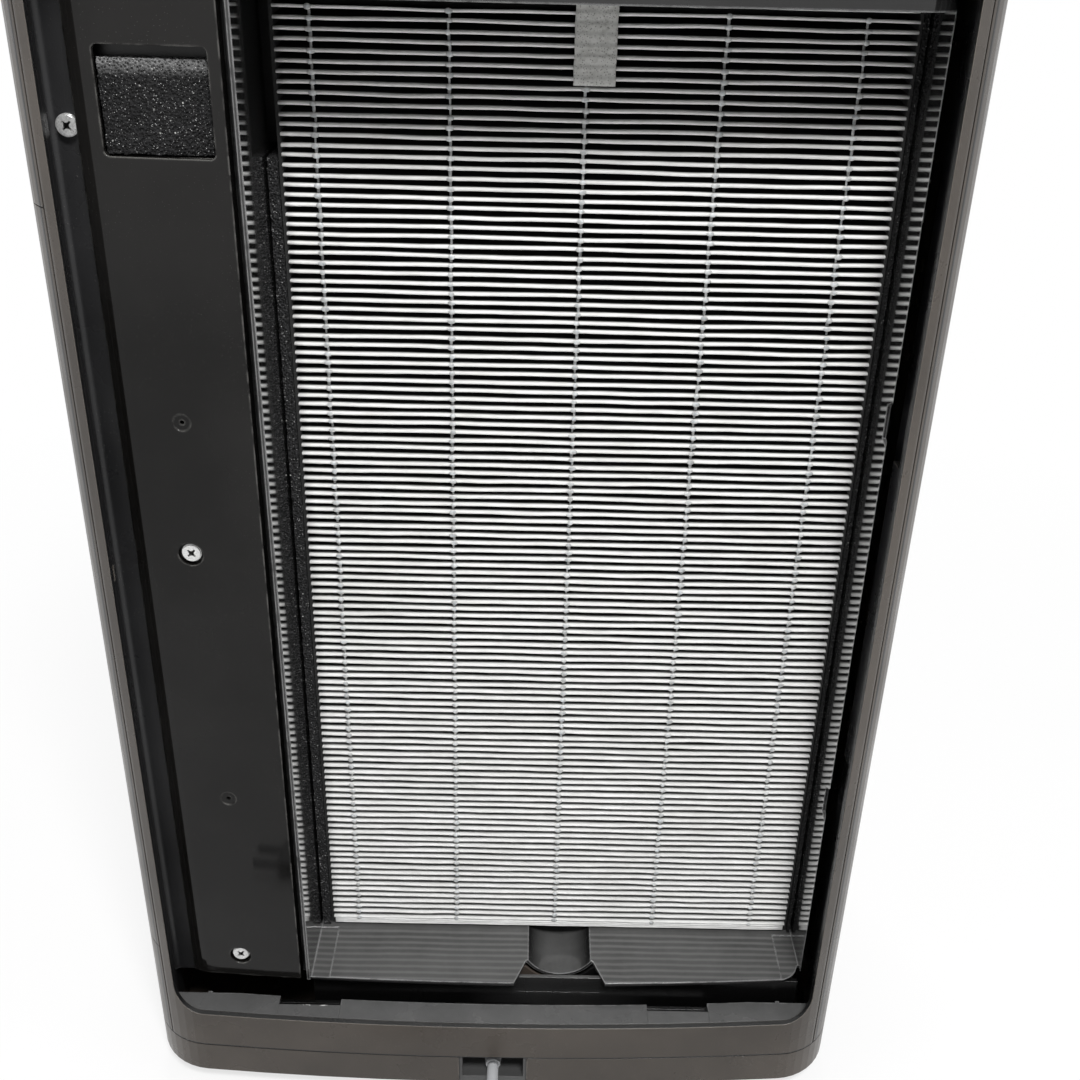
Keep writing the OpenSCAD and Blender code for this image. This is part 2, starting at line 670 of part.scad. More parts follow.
module side_cover() color(gloss_black) difference() {
    union() {
        // Bowed face with its rounded outer edge, and a skirt along the inner edge
        intersection() {
            shell(cover_inset, cover_t, cover_z0, cover_z1);
            box(cover_x0, cover_x1, flange_y + 0.4, far, 0, far);
        }
        box(cover_x0, cover_x0 + 1.6, flange_y, back_y(cover_x0, cover_inset + 1),
            cover_z0, cover_z1);
        intersection() {
            slab(cover_inset + 1, cover_z0, cover_z0 + 1.8);
            box(cover_x0, cover_x1 - 2, flange_y + 0.4, far, 0, far);
        }
        for (p = cover_holes) rod_y(p[0], p[1], 6.6, flange_y + 2.4, seat_y + 2);
        for (z = [window[2] - 2, window[3]])
            box(window[0] - 2, window[1] + 2, flange_y, seat_y + 2, z, z + 2);
    }
    along_y(flange_y - 1, far) rounded_rect(window[0], window[1], window[2], window[3], 2);
    for (p = cover_holes) {
        rod_y(p[0], p[1], head_r + 1, seat_y, far);
        rod_y(p[0], p[1], 1.8, flange_y, far);
    }
    for (p = pips) {
        rod_y(p[0], p[1], 3.4, back_y(p[0], cover_inset) - 0.5, far);
        rod_y(p[0], p[1], 0.9, flange_y, far);
    }
}

module sensor_foam() color("#161617")
    box(window[0] + 0.4, window[1] - 0.4, flange_y, flange_y + 6.7, window[2] + 0.3, window[3] - 4);

module sensor_board() color("#1f5d3a") {
    translate([0, flange_y - flange_t, 0]) {
        box(window[0] + 0.3, window[1] + 0.2, -1.6, 0, window[2] - 5, window[3] + 2.5);
        box(window[0] + 5.3, window[1] - 5.8, -14, -1.6, window[2] + 1, window[3] - 3.5);
    }
}

// Pan-head screw along Y, its head's underside at y, with a cross recess
module screw_y(x, y, z, len) difference() {
    union() {
        rod_y(x, z, 1.25, y - len, y);
        rod_y(x, z, head_r - 0.4, y, y + head_h);
        rod_y(x, z, head_r, y, y + head_h - 0.7);
    }
    for (a = [45, 135]) translate([x, y + head_h, z]) rotate([0, a, 0]) cube([4, 2, 0.8], center = true);
}

module cover_screws() color(steel) {
    for (p = cover_holes) screw_y(p[0], seat_y, p[1], 8);
    screw_y(flange_screw[0], flange_y, flange_screw[1], 5);
}

// ---- Fan ----
scroll_t = 2;
bell_t = 2;
throat_r = rotor_r - 15;
rotor_y0 = scroll_y0 + 6;
motor_r = 38;
motor_l = 21;
shaft_r = 4;
bolt_r = 30;          // the motor's screws lie on this radius
tongue_a = 62;
exit_a = 360;
spiral_steps = 40;

function spiral_r(a) = rotor_r + rotor_gap + growth * (a - tongue_a) / (exit_a - tongue_a);
function spiral(out) = [for (k = [0:spiral_steps])
    let (a0 = tongue_a + 2 * out, a = a0 + (exit_a - a0) * k / spiral_steps)
    [fan_x + (spiral_r(a) + out) * cos(a), fan_z + (spiral_r(a) + out) * sin(a)]];
// Inside of the scroll and of the duct that flares up to the outlet
function air_way(out) = concat(spiral(out), [
    [outlet_x1 + out, fan_z + 60], [outlet_x1 + out, bulkhead_top],
    [outlet_x0 - out, bulkhead_top], [outlet_x0 - out, fan_z + 210],
    [fan_x + (rotor_r + rotor_gap) * cos(tongue_a) - 34 - out, fan_z + rotor_r + 65]]);

// Corner left out of the two upright plates, round the carry grip
module grip_room() box(-far, outlet_x0 - 10, -far, far, grip_z0 - 20, far);

module fan_scroll() color("#2b2b2d") {
    along_y(scroll_y0 + scroll_t - eps, scroll_y1) difference() {
        polygon(air_way(scroll_t));
        polygon(air_way(0));
    }
    difference() {
        box(bulkhead_x0, bulkhead_x1, scroll_y0, scroll_y0 + scroll_t, deck_z + deck_t,
            bulkhead_top);
        rod_y(fan_x, fan_z, 8, -far, far);
        for (a = [45:90:315])
            rod_y(fan_x + bolt_r * cos(a), fan_z + bolt_r * sin(a), 1.5, -far, far);
        grip_room();
    }
}

module inlet_bell() color("#2b2b2d") {
    difference() {
        box(bulkhead_x0, bulkhead_x1, scroll_y1, scroll_y1 + bell_t, deck_z + deck_t,
            bulkhead_top);
        rod_y(fan_x, fan_z, throat_r + 4, -far, far);
        grip_room();
    }
    // Rounded inlet lip
    translate([fan_x, scroll_y1, fan_z]) rotate([-90, 0, 0]) rotate_extrude() intersection() {
        translate([throat_r + 4.2, -2]) circle(4.2);
        translate([0, -3.4]) square([throat_r + 4.2, 5.4]);
    }
}

module fan_rotor() color("#d8d8d4") translate([fan_x, rotor_y0, fan_z]) rotate([-90, 0, 0]) {
    difference() {
        union() {
            cylinder(r = rotor_r, h = 2);
            translate([0, 0, rotor_len - 3]) difference() {
                cylinder(r = rotor_r, h = 3);
                translate([0, 0, -1]) cylinder(r = rotor_r - 14, h = 5);
            }
            cylinder(r1 = 26, r2 = 12, h = 22);
            for (n = [0:blades - 1]) rotate(n * 360 / blades)
                translate([0, 0, 1]) linear_extrude(rotor_len - 2) blade();
        }
        translate([0, 0, -1]) cylinder(r = shaft_r, h = 40);
    }
}

// Forward-curved blade, an arc of constant thickness
module blade() translate([rotor_r - 12.1, 11.6])
    polygon(concat([for (a = [-104:12.6:-28]) 12 * [cos(a), sin(a)]],
        [for (a = [-28:-12.6:-104]) 11 * [cos(a), sin(a)]]));

module rotor_nut() color(steel) difference() {
    translate([fan_x, rotor_y0 + 22, fan_z]) rotate([-90, 0, 0]) cylinder(r = 7, h = 5, $fn = 6);
    rod_y(fan_x, fan_z, shaft_r, rotor_y0, far);
}

module fan_motor() color("#b9bbbd") difference() {
    union() {
        rod_y(fan_x, fan_z, motor_r, scroll_y0 - motor_l, scroll_y0);
        rod_y(fan_x, fan_z, 14, scroll_y0 - motor_l - 4, scroll_y0 - motor_l);
        rod_y(fan_x, fan_z, 7.6, scroll_y0 - eps, scroll_y0 + 4);
    }
    rod_y(fan_x, fan_z, shaft_r + spin, scroll_y0 - motor_l - 2, far);
}

module motor_shaft() color(steel)
    rod_y(fan_x, fan_z, shaft_r, scroll_y0 - motor_l - 1.5, rotor_y0 + 27.5);

module motor_screws() color(steel) for (a = [45:90:315])
    translate([fan_x + bolt_r * cos(a), 0, fan_z + bolt_r * sin(a)]) {
        rod_y(0, 0, 3, scroll_y0 + scroll_t, scroll_y0 + scroll_t + 2);
        rod_y(0, 0, 1.5, scroll_y0, scroll_y0 + scroll_t);
    }

// ---- Humidifier ----
rim_w = 6;            // toothed part of the rim
spoke_in = 0.4;       // spokes lie this far inside the wheel's faces
spoke_t = 1.8;
tray_z0 = deck_z + deck_t;
tray_t = 1.8;
tray_x0 = bulkhead_x0 + 14;
tray_neck = well_x1 + 1.2;
tray_x1 = side_x - 5;
tank_y0 = door_y0 + 4;
tank_y1 = flange_y - 17.5;
tray_top = deck_z + 44;
wheel_y0 = tray_y0 + 4.5;
wheel_r = (tray_neck - tray_x0 - wheel_room) / 2; // over the teeth of its rim
wheel_x = tray_neck - 21 - wheel_r;
axle_r = 3;
pinion_r = (wheel_r - 1.4) * pinion_teeth / wheel_teeth;
pinion_a = 150;       // where the pinion meets the wheel
pinion_x = wheel_x + (wheel_r - 1.4 + pinion_r + 0.5) * cos(pinion_a);
pinion_z = wheel_z + (wheel_r - 1.4 + pinion_r + 0.5) * sin(pinion_a);

module humidifier_tray() color("#c9ccce") difference() {
    union() {
        box(tray_x0, tray_neck + 6, tray_y0, tray_y1, tray_z0, tray_top);
        box(tray_neck + 3, tray_x1, tank_y0, tank_y1, tray_z0, door_z0 - 1);
        // Post that opens the tank's valve
        translate([cap_x, cap_y, tray_z0]) cylinder(r = 7, h = tank_z0 - 12.2 - tray_z0);
        // Arms that carry the wheel's axle
        for (y = [[tray_y0, tray_y0 + 2.4], [tray_y1 - 2.4, tray_y1]]) along_y(y[0], y[1])
            polygon([[wheel_x - 14, tray_top - 4], [wheel_x + 14, tray_top - 4],
                [wheel_x + 7, wheel_z + 7], [wheel_x - 7, wheel_z + 7]]);
    }
    box(tray_x0 + tray_t, tray_neck + 3, tray_y0 + tray_t, tray_y1 - tray_t,
        tray_z0 + tray_t, tray_top - 4 - eps);
    box(tray_x0 + tray_t, tray_neck + 6 + eps, tray_y0 + 2.4, tray_y1 - 2.4,
        tray_z0 + tray_t, far);
    difference() {
        box(tray_neck + 3 + tray_t, tray_x1 - tray_t, tank_y0 + tray_t, tank_y1 - tray_t,
            tray_z0 + tray_t, far);
        translate([cap_x, cap_y, 0]) cylinder(r = 7, h = far);
    }
    box(tray_neck, tray_neck + 3 + tray_t + eps, tray_y0 + 2.4, tray_y1 - 2.4,
        tray_z0 + tray_t, far);
    rod_y(wheel_x, wheel_z, axle_r, -far, far);
}

// Outline of a toothed wheel, its first gap centred on the angle turn
function gear_outline(r, n, turn) = [for (k = [0:n - 1]) each
    let (a = turn + (k + 0.5) * 360 / n, c = cos(a), s = sin(a))
    [for (p = [[r - 1.6, -1.35], [r + 1.2, -0.7], [r + 1.2, 0.7], [r - 1.6, 1.35]])
        [p[0] * c - p[1] * s, p[0] * s + p[1] * c]]];

module humidifier_wheel() color("#d4d6d6")
    translate([wheel_x, wheel_y0, wheel_z]) rotate([-90, 0, 0]) difference() {
        union() {
            linear_extrude(rim_w) difference() {
                polygon(gear_outline(wheel_r - 1.4, wheel_teeth, 180 / wheel_teeth));
                circle(wheel_r - 8);
            }
            translate([0, 0, rim_w]) linear_extrude(wheel_w - rim_w) difference() {
                circle(wheel_r - 4);
                circle(wheel_r - 8);
            }
            for (a = [0:60:300]) rotate(a) {
                translate([8, -2, spoke_in]) cube([wheel_r - 14, 4, spoke_t]);
                translate([8, -2, wheel_w - spoke_in - spoke_t]) cube([wheel_r - 14, 4, spoke_t]);
            }
            cylinder(r = 10, h = wheel_w);
        }
        translate([0, 0, -1]) cylinder(r = axle_r + spin, h = wheel_w + 2);
    }

module wheel_wick() color("#e6efef") difference() {
    rod_y(wheel_x, wheel_z, wheel_r - 8, wheel_y0 + spoke_in + spoke_t,
        wheel_y0 + wheel_w - spoke_in - spoke_t);
    rod_y(wheel_x, wheel_z, 10, -far, far);
}

module wheel_axle() color(steel) rod_y(wheel_x, wheel_z, axle_r, tray_y0 - 0.5, tray_y1 + 0.5);

module wheel_pinion() color("#e8e4da")
    translate([pinion_x, wheel_y0 + rim_w, pinion_z]) rotate([90, 0, 0]) difference() {
        linear_extrude(rim_w) polygon(gear_outline(pinion_r, pinion_teeth, pinion_a + 180));
        translate([0, 0, -1]) cylinder(r = 2, h = rim_w + 2);
    }

module wheel_motor() color("#b9bbbd") {
    rod_y(pinion_x, pinion_z, 2 - spin, wheel_y0 - 2, wheel_y0 + 5);
    rod_y(pinion_x, pinion_z, 12, scroll_y1 + bell_t, wheel_y0 - 2);
}

// ---- Tank ----
tank_x0 = tray_neck + 5;
tank_x1 = side_x - wall;
tank_z0 = door_z0 + 13;
tank_z1 = door_z1 - 2;
tank_t = 2;
bay_t = 2;
bay_x1 = tray_x1 - 1;
rail_w = 12;
cap_x = tank_x0 + 32;
cap_y = (tank_y0 + tank_y1) / 2 + 1;
cap_r = 17;
pull_y0 = cap_y - 20;
pull_y1 = cap_y + 40;
pull_z1 = door_z1 - 12;
pull_z0 = pull_z1 - 26;
pull_deep = 16;

module tank_bay() color(inner_black) difference() {
    box(tray_neck + 0.6, bay_x1, tank_y0 - 2 - bay_t, tank_y1 + 2 + bay_t, deck_z + deck_t,
        door_z1 + 2 + bay_t);
    box(tray_neck + 2.2, far, tank_y0 - 2, tank_y1 + 2, 0, door_z1 + 2);
    box(0, far, tray_y0 - 1, tray_y1 + 1, 0, tray_top + 2);
}

// Rails on the bay's walls that the tank slides on
module tank_rails() color(inner_black)
    for (y = [[tank_y0 - 2, tank_y0 + rail_w], [tank_y1 - rail_w, tank_y1 + 2]])
        box(tray_neck + 2.2, bay_x1, y[0], y[1], tank_z0 - 4, tank_z0 - 0.1);

module tank_body() color("#a9c4cf") difference() {
    union() {
        box(tank_x0, tank_x1, tank_y0 + 2, tank_y1, tank_z0, tank_z1);
        translate([cap_x, cap_y, tank_z0 - 6]) cylinder(r = cap_r - 2.5, h = 7);
    }
    difference() {
        box(tank_x0 + tank_t, tank_x1 - tank_t, tank_y0 + 2 + tank_t, tank_y1 - tank_t,
            tank_z0 + tank_t, tank_z1 - tank_t);
        box(tank_x1 - pull_deep - tank_t, far, pull_y0 - tank_t, pull_y1 + tank_t,
            pull_z0 - tank_t, pull_z1 + tank_t);
    }
    box(tank_x1 - pull_deep, far, pull_y0, pull_y1, pull_z0, pull_z1);
    translate([cap_x, cap_y, 0]) cylinder(r = cap_r - 5, h = tank_z0 + 4);
}

module tank_door() color(casing) difference() {
    intersection() {
        shell(0, wall, door_z0, door_z1);
        box(split_x + seam / 2, far, door_y0, far, 0, far);
    }
    box(0, far, pull_y0, pull_y1, pull_z0, pull_z1);
}

module tank_cap() color("#3b6fa0") difference() {
    translate([cap_x, cap_y, tank_z0 - 12]) cylinder(r = cap_r, h = 11.9);
    translate([cap_x, cap_y, tank_z0 - 9]) cylinder(r = cap_r - 2.5 + spin, h = 12);
    translate([cap_x, cap_y, tank_z0 - 13]) cylinder(r = 5, h = 6);
}

// ---- Electronics ----
board_y = -back + 12;
board_x0 = -70;
board_w = 120;
board_h = 84;
board_foot = deck_z + deck_t;

module power_board() color("#1f5d3a") translate([board_x0, board_y, board_foot + 3]) {
    box(0, board_w, 0, 1.6, 0, board_h);
    // Choke, transformer and capacitor
    box(10, 50, 1.6, 18, 14, 49);
    box(70, 100, 1.6, 16, 24, 64);
    box(20, 50, 1.6, 14, 58, 76);
    for (x = [6, board_w - 6], z = [6, board_h - 6])
        rod_y(x, z, 3, 0.1 - board_y - back_y(board_x0 + x, front_recess + front_rib), 0);
    box(0, board_w, 0, 6, -3, 0);
}

module ion_unit() color("#dedfe0") translate([outlet_x0, scroll_y0, shell_top]) {
    box(-24, -scroll_t, 12, 42, -40, -14);
    box(-30, -24, 18, 24, -34, -26);
}

// ---- Cord ----
gland_y = recess_y + 10;
module strain_relief() color("#b7b8b9") difference() {
    union() {
        rod_y(0, gland_z, 4.4, recess_y - 1, gland_y + 4);
        rod_y(0, gland_z, 4.1, gland_y + 4, gland_y + 14);
        rod_y(0, gland_z, 6.5, recess_y - 6, recess_y - 2);
        rod_y(0, gland_z, 4.4, recess_y - 6, recess_y);
    }
    rod_y(0, gland_z, cord_d / 2 - 0.4, recess_y - 8, gland_y + 1);
}

coil_y = 207;
coil_x = 46.5;
coil_w = 3 * cord_d;
coil_in = coil_d / 2 - coil_w / 2;
// Route of the cord from the strain relief to the coil, on the floor beyond the first bend
cord_z = cord_d / 2 + 0.1;
route = [[0, 120, 15.5], [0, 128, 15.4], [0, 136, 14], [-0.3, 144, 10.6], [-1.1, 152, 6.3],
    [-1.8, 160, 3.4], [-1.9, 165, cord_z], [-1.5, 170, cord_z], [-0.4, 176, cord_z],
    [1.6, 182, cord_z], [3.9, 188, cord_z], [5.6, 193, cord_z]];
lead = [[68, 244.5, 7.1], [71, 244.5, 5.8], [74, 244.5, 4.7], [79, 244.5, 3.5],
    [85, 244.5, cord_z], [91, 244.5, 3.1], [97, 244.5, 4.1], [103, 244.5, 5.3], [109, 244.5, 6]];

function unit(v) = v / norm(v);
function tangent(p, k) = unit(p[min(k + 1, len(p) - 1)] - p[max(k - 1, 0)]);
function cord_ring(p, k, n, r) = let (t = tangent(p, k), s = unit(cross(t, [0, 0, 1])), u = cross(s, t))
    [for (a = [0:n - 1]) p[k] + r * (cos(a * 360 / n) * s + sin(a * 360 / n) * u)];
// Round tube with n sides along the points of p
module tube(p, r, n = 10) polyhedron(
    points = [for (k = [0:len(p) - 1]) each cord_ring(p, k, n, r)],
    faces = concat([[for (a = [0:n - 1]) a]],
        [for (k = [0:len(p) - 2], a = [0:n - 1])
            [k * n + a, (k + 1) * n + a, (k + 1) * n + (a + 1) % n, k * n + (a + 1) % n]],
        [[for (a = [n - 1:-1:0]) (len(p) - 1) * n + a]]));

module power_cord() color("#b7b8b9") tube(route, cord_d / 2);
module cord_lead() color("#b7b8b9") tube(lead, cord_d / 2);
module cord_coil() color("#b7b8b9") translate([coil_x, coil_y, 0.1]) rotate_extrude()
    translate([coil_in, 0]) square([coil_w, coil_w]);

// The plug lies flat beyond the lead, its two blades towards +X
plug_x = lead[len(lead) - 1][0] + 0.5;
plug_y = lead[0][1];
tail_l = 12;
plug_l = 26;
plug_w = 24;
plug_h = 16;
blade_gap = 12.7;
module plug_body() color("#b7b8b9") {
    translate([plug_x + tail_l, plug_y, 0.1]) linear_extrude(plug_h) polygon([
        [0, -plug_w / 2 + 5], [8, -plug_w / 2], [plug_l, -plug_w / 2],
        [plug_l, plug_w / 2], [8, plug_w / 2], [0, plug_w / 2 - 5]]);
    rod_x(plug_y, 6, 4, plug_x, plug_x + tail_l + eps);
}
module plug_pins() color(steel) for (y = [-blade_gap / 2, blade_gap / 2])
    translate([plug_x + tail_l + plug_l, plug_y + y - 0.75, plug_h / 2 - 3.1])
        cube([17, 1.5, 6.3]);

base_tray();
rubber_feet();
chassis();
rear_frame();
cover_ledge();
cover_catches();
side_flange();
side_shell();
front_panel();
top_cover();
outlet_grille();
louver_flap();
control_panel();
control_board();
button(0);  // button_power
button(1);  // button_speed
button(2);  // button_mode
button(3);  // button_humidify
button(4);  // button_lock
carry_grips();
filter_well();
well_grille();
hepa_pleats();
hepa_beads();
hepa_frame();
hepa_gasket();
hepa_pull_tab();
carbon_frame();
carbon_core();
side_cover();
sensor_foam();
sensor_board();
cover_screws();
fan_scroll();
inlet_bell();
fan_rotor();
rotor_nut();
motor_shaft();
fan_motor();
motor_screws();
humidifier_tray();
humidifier_wheel();
wheel_wick();
wheel_axle();
wheel_pinion();
wheel_motor();
tank_bay();
tank_rails();
tank_body();
tank_door();
tank_cap();
power_board();
ion_unit();
cord_liner();
strain_relief();
power_cord();
cord_coil();
cord_lead();
plug_body();
plug_pins();
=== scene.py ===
# Looks of the tower air purifier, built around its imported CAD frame. Metres, row frame.
import math
import random

import bpy
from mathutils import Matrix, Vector, noise


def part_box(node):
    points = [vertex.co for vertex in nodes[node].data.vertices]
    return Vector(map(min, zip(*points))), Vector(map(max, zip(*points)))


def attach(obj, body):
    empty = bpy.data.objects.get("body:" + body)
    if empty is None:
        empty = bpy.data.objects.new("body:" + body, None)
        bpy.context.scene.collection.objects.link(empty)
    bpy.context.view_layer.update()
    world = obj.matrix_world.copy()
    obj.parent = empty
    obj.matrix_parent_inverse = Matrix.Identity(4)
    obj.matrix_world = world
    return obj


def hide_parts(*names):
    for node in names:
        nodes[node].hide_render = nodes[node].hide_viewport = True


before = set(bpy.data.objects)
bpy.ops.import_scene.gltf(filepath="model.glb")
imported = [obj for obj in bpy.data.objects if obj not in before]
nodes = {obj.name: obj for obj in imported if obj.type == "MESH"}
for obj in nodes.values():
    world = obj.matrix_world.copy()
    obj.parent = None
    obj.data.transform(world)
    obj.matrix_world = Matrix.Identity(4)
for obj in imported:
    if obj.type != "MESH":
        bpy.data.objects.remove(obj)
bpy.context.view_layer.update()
MM = 0.001

# ---------------------------------------------------------------- camera
CAMERA_AT = (-0.0119, 0.5510, 0.5312)
CAMERA_TURN = (62.683, -1.346, -179.910)   # Euler angles, degrees
camera_data = bpy.data.cameras.new("camera")
camera_data.lens = 41.67
camera_data.sensor_width = 36
camera_data.clip_start = 0.02
camera = bpy.data.objects.new("camera", camera_data)
camera.location = CAMERA_AT
camera.rotation_euler = [math.radians(a) for a in CAMERA_TURN]
bpy.context.collection.objects.link(camera)
bpy.context.scene.camera = camera


# ---------------------------------------------------------------- mesh helpers
def mm_box(node):
    """Corners of a node's box, millimetres."""
    lo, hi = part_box(node)
    return [v / MM for v in lo], [v / MM for v in hi]


def mesh_object(name, verts, faces, smooth=True):
    mesh = bpy.data.meshes.new(name)
    mesh.from_pydata(verts, [], faces)
    mesh.validate()
    mesh.update()
    if smooth:
        for p in mesh.polygons:
            p.use_smooth = True
    o = bpy.data.objects.new(name, mesh)
    bpy.context.collection.objects.link(o)
    return o


def loft(name, rings, closed_ends=True, smooth=True):
    """Skin over equal rings of points, each ring closed."""
    n = len(rings[0])
    verts = [p for r in rings for p in r]
    faces = []
    for i in range(len(rings) - 1):
        for k in range(n):
            a, b = i * n + k, i * n + (k + 1) % n
            faces.append((a, b, b + n, a + n))
    if closed_ends:
        faces.append(tuple(reversed(range(n))))
        faces.append(tuple((len(rings) - 1) * n + k for k in range(n)))
    return mesh_object(name, verts, faces, smooth)


def ring_y(cx, cz, y, r, n=32):
    return [(cx + r * math.cos(2 * math.pi * k / n), y, cz + r * math.sin(2 * math.pi * k / n))
            for k in range(n)]


# ---------------------------------------------------------------- materials
COAT_ROUGHNESS = 0.08
BEVEL_SAMPLES = 4


class Nodes:
    """A material with a Principled shader, and short calls for what feeds it."""

    def __init__(self, name, color, rough, metallic=0.0, specular=0.5, coat=0.0):
        self.mat = bpy.data.materials.new(name)
        self.mat.use_nodes = True
        self.t = self.mat.node_tree
        self.b = self.t.nodes["Principled BSDF"]
        self.b.inputs["Base Color"].default_value = (*color, 1)
        self.b.inputs["Roughness"].default_value = rough
        self.b.inputs["Metallic"].default_value = metallic
        self.b.inputs["Specular IOR Level"].default_value = specular
        self.b.inputs["Coat Weight"].default_value = coat
        self.b.inputs["Coat Roughness"].default_value = COAT_ROUGHNESS
        source = self.t.nodes.new("ShaderNodeTexCoord")
        self.coord = source.outputs["Object"]
        self.facing = source.outputs["Normal"]
        self.normal = None

    def new(self, kind):
        return self.t.nodes.new(kind)

    def link(self, a, b):
        self.t.links.new(a, b)

    def scaled(self, sx, sy, sz):
        m = self.new("ShaderNodeMapping")
        m.inputs["Scale"].default_value = (sx, sy, sz)
        self.link(self.coord, m.inputs["Vector"])
        return m.outputs["Vector"]

    def noise(self, scale, detail=3.0, rough=0.5, vec=None):
        n = self.new("ShaderNodeTexNoise")
        n.inputs["Scale"].default_value = scale
        n.inputs["Detail"].default_value = detail
        n.inputs["Roughness"].default_value = rough
        self.link(vec or self.coord, n.inputs["Vector"])
        return n.outputs["Fac"]

    def cells(self, scale, feature="F1", vec=None):
        n = self.new("ShaderNodeTexVoronoi")
        n.feature = feature
        n.inputs["Scale"].default_value = scale
        self.link(vec or self.coord, n.inputs["Vector"])
        return n.outputs["Distance"]

    def span(self, value, a, b, lo=0.0, hi=1.0):
        n = self.new("ShaderNodeMapRange")
        n.inputs["From Min"].default_value = a
        n.inputs["From Max"].default_value = b
        n.inputs["To Min"].default_value = lo
        n.inputs["To Max"].default_value = hi
        self.link(value, n.inputs["Value"])
        return n.outputs["Result"]

    def maths(self, op, a, b=None):
        n = self.new("ShaderNodeMath")
        n.operation = op
        for i, v in enumerate((a, b)):
            if v is None:
                continue
            if isinstance(v, (int, float)):
                n.inputs[i].default_value = v
            else:
                self.link(v, n.inputs[i])
        return n.outputs["Value"]

    def part(self, vector, name):
        n = self.new("ShaderNodeSeparateXYZ")
        self.link(vector, n.inputs["Vector"])
        return n.outputs[name]

    def axis(self, name):
        """Where on the object, along X, Y or Z, metres."""
        return self.part(self.coord, name)

    def faces(self, name):
        """How far the surface faces along X, Y or Z."""
        return self.part(self.facing, name)

    def times(self, first, *others):
        for other in others:
            first = self.maths("MULTIPLY", first, other)
        return first

    def either(self, a, b):
        return self.maths("MAXIMUM", a, b)

    def without(self, mask):
        return self.maths("SUBTRACT", 1, mask)

    def between(self, axis, lo, hi, soft=0.4, mirrored=False):
        """Mask that is 1 where a coordinate lies between two values, millimetres."""
        v = self.axis(axis)
        if mirrored:
            v = self.maths("ABSOLUTE", v)
        return self.maths("MINIMUM", self.span(v, (lo - soft) * MM, lo * MM),
                          self.span(v, (hi + soft) * MM, hi * MM))

    def blend(self, fac, a, b):
        n = self.new("ShaderNodeMix")
        n.data_type = "RGBA"
        self.link(fac, n.inputs["Factor"])
        for i, v in ((6, a), (7, b)):
            if isinstance(v, tuple):
                n.inputs[i].default_value = (*v, 1)
            else:
                self.link(v, n.inputs[i])
        return n.outputs[2]

    def color(self, out):
        self.link(out, self.b.inputs["Base Color"])

    def rough(self, out):
        self.link(out, self.b.inputs["Roughness"])

    def rounded(self, radius):
        """Normal of the surface with its edges rounded off."""
        n = self.new("ShaderNodeBevel")
        n.samples = BEVEL_SAMPLES
        n.inputs["Radius"].default_value = radius
        return n.outputs["Normal"]

    def bevel(self, radius):
        self.normal = self.rounded(radius)

    def dot(self, a, b):
        n = self.new("ShaderNodeVectorMath")
        n.operation = "DOT_PRODUCT"
        self.link(a, n.inputs[0])
        self.link(b, n.inputs[1])
        return n.outputs["Value"]

    def edges(self, radius):
        """Mask that is 1 along sharp edges, from the rounded normal."""
        flat = self.new("ShaderNodeNewGeometry").outputs["Normal"]
        return self.span(self.dot(self.rounded(radius), flat), 1.0, 0.75)

    def bump(self, height, strength, distance):
        n = self.new("ShaderNodeBump")
        n.inputs["Strength"].default_value = strength
        n.inputs["Distance"].default_value = distance
        self.link(height, n.inputs["Height"])
        if self.normal is not None:
            self.link(self.normal, n.inputs["Normal"])
        self.normal = n.outputs["Normal"]

    def done(self):
        if self.normal is not None:
            self.link(self.normal, self.b.inputs["Normal"])
        return self.mat


def srgb(r, g, b):
    """Linear colour from 0-255 display values."""
    return tuple((v / 255 / 12.92) if v <= 10 else ((v / 255 + 0.055) / 1.055) ** 2.4
                 for v in (r, g, b))


DUST_SPECK = (0.36, 0.35, 0.33)     # linear colours
DUST_FILM = (0.34, 0.34, 0.335)
DULL_ROUGHNESS = 0.26
GRAIN_HEIGHT = 0.00012


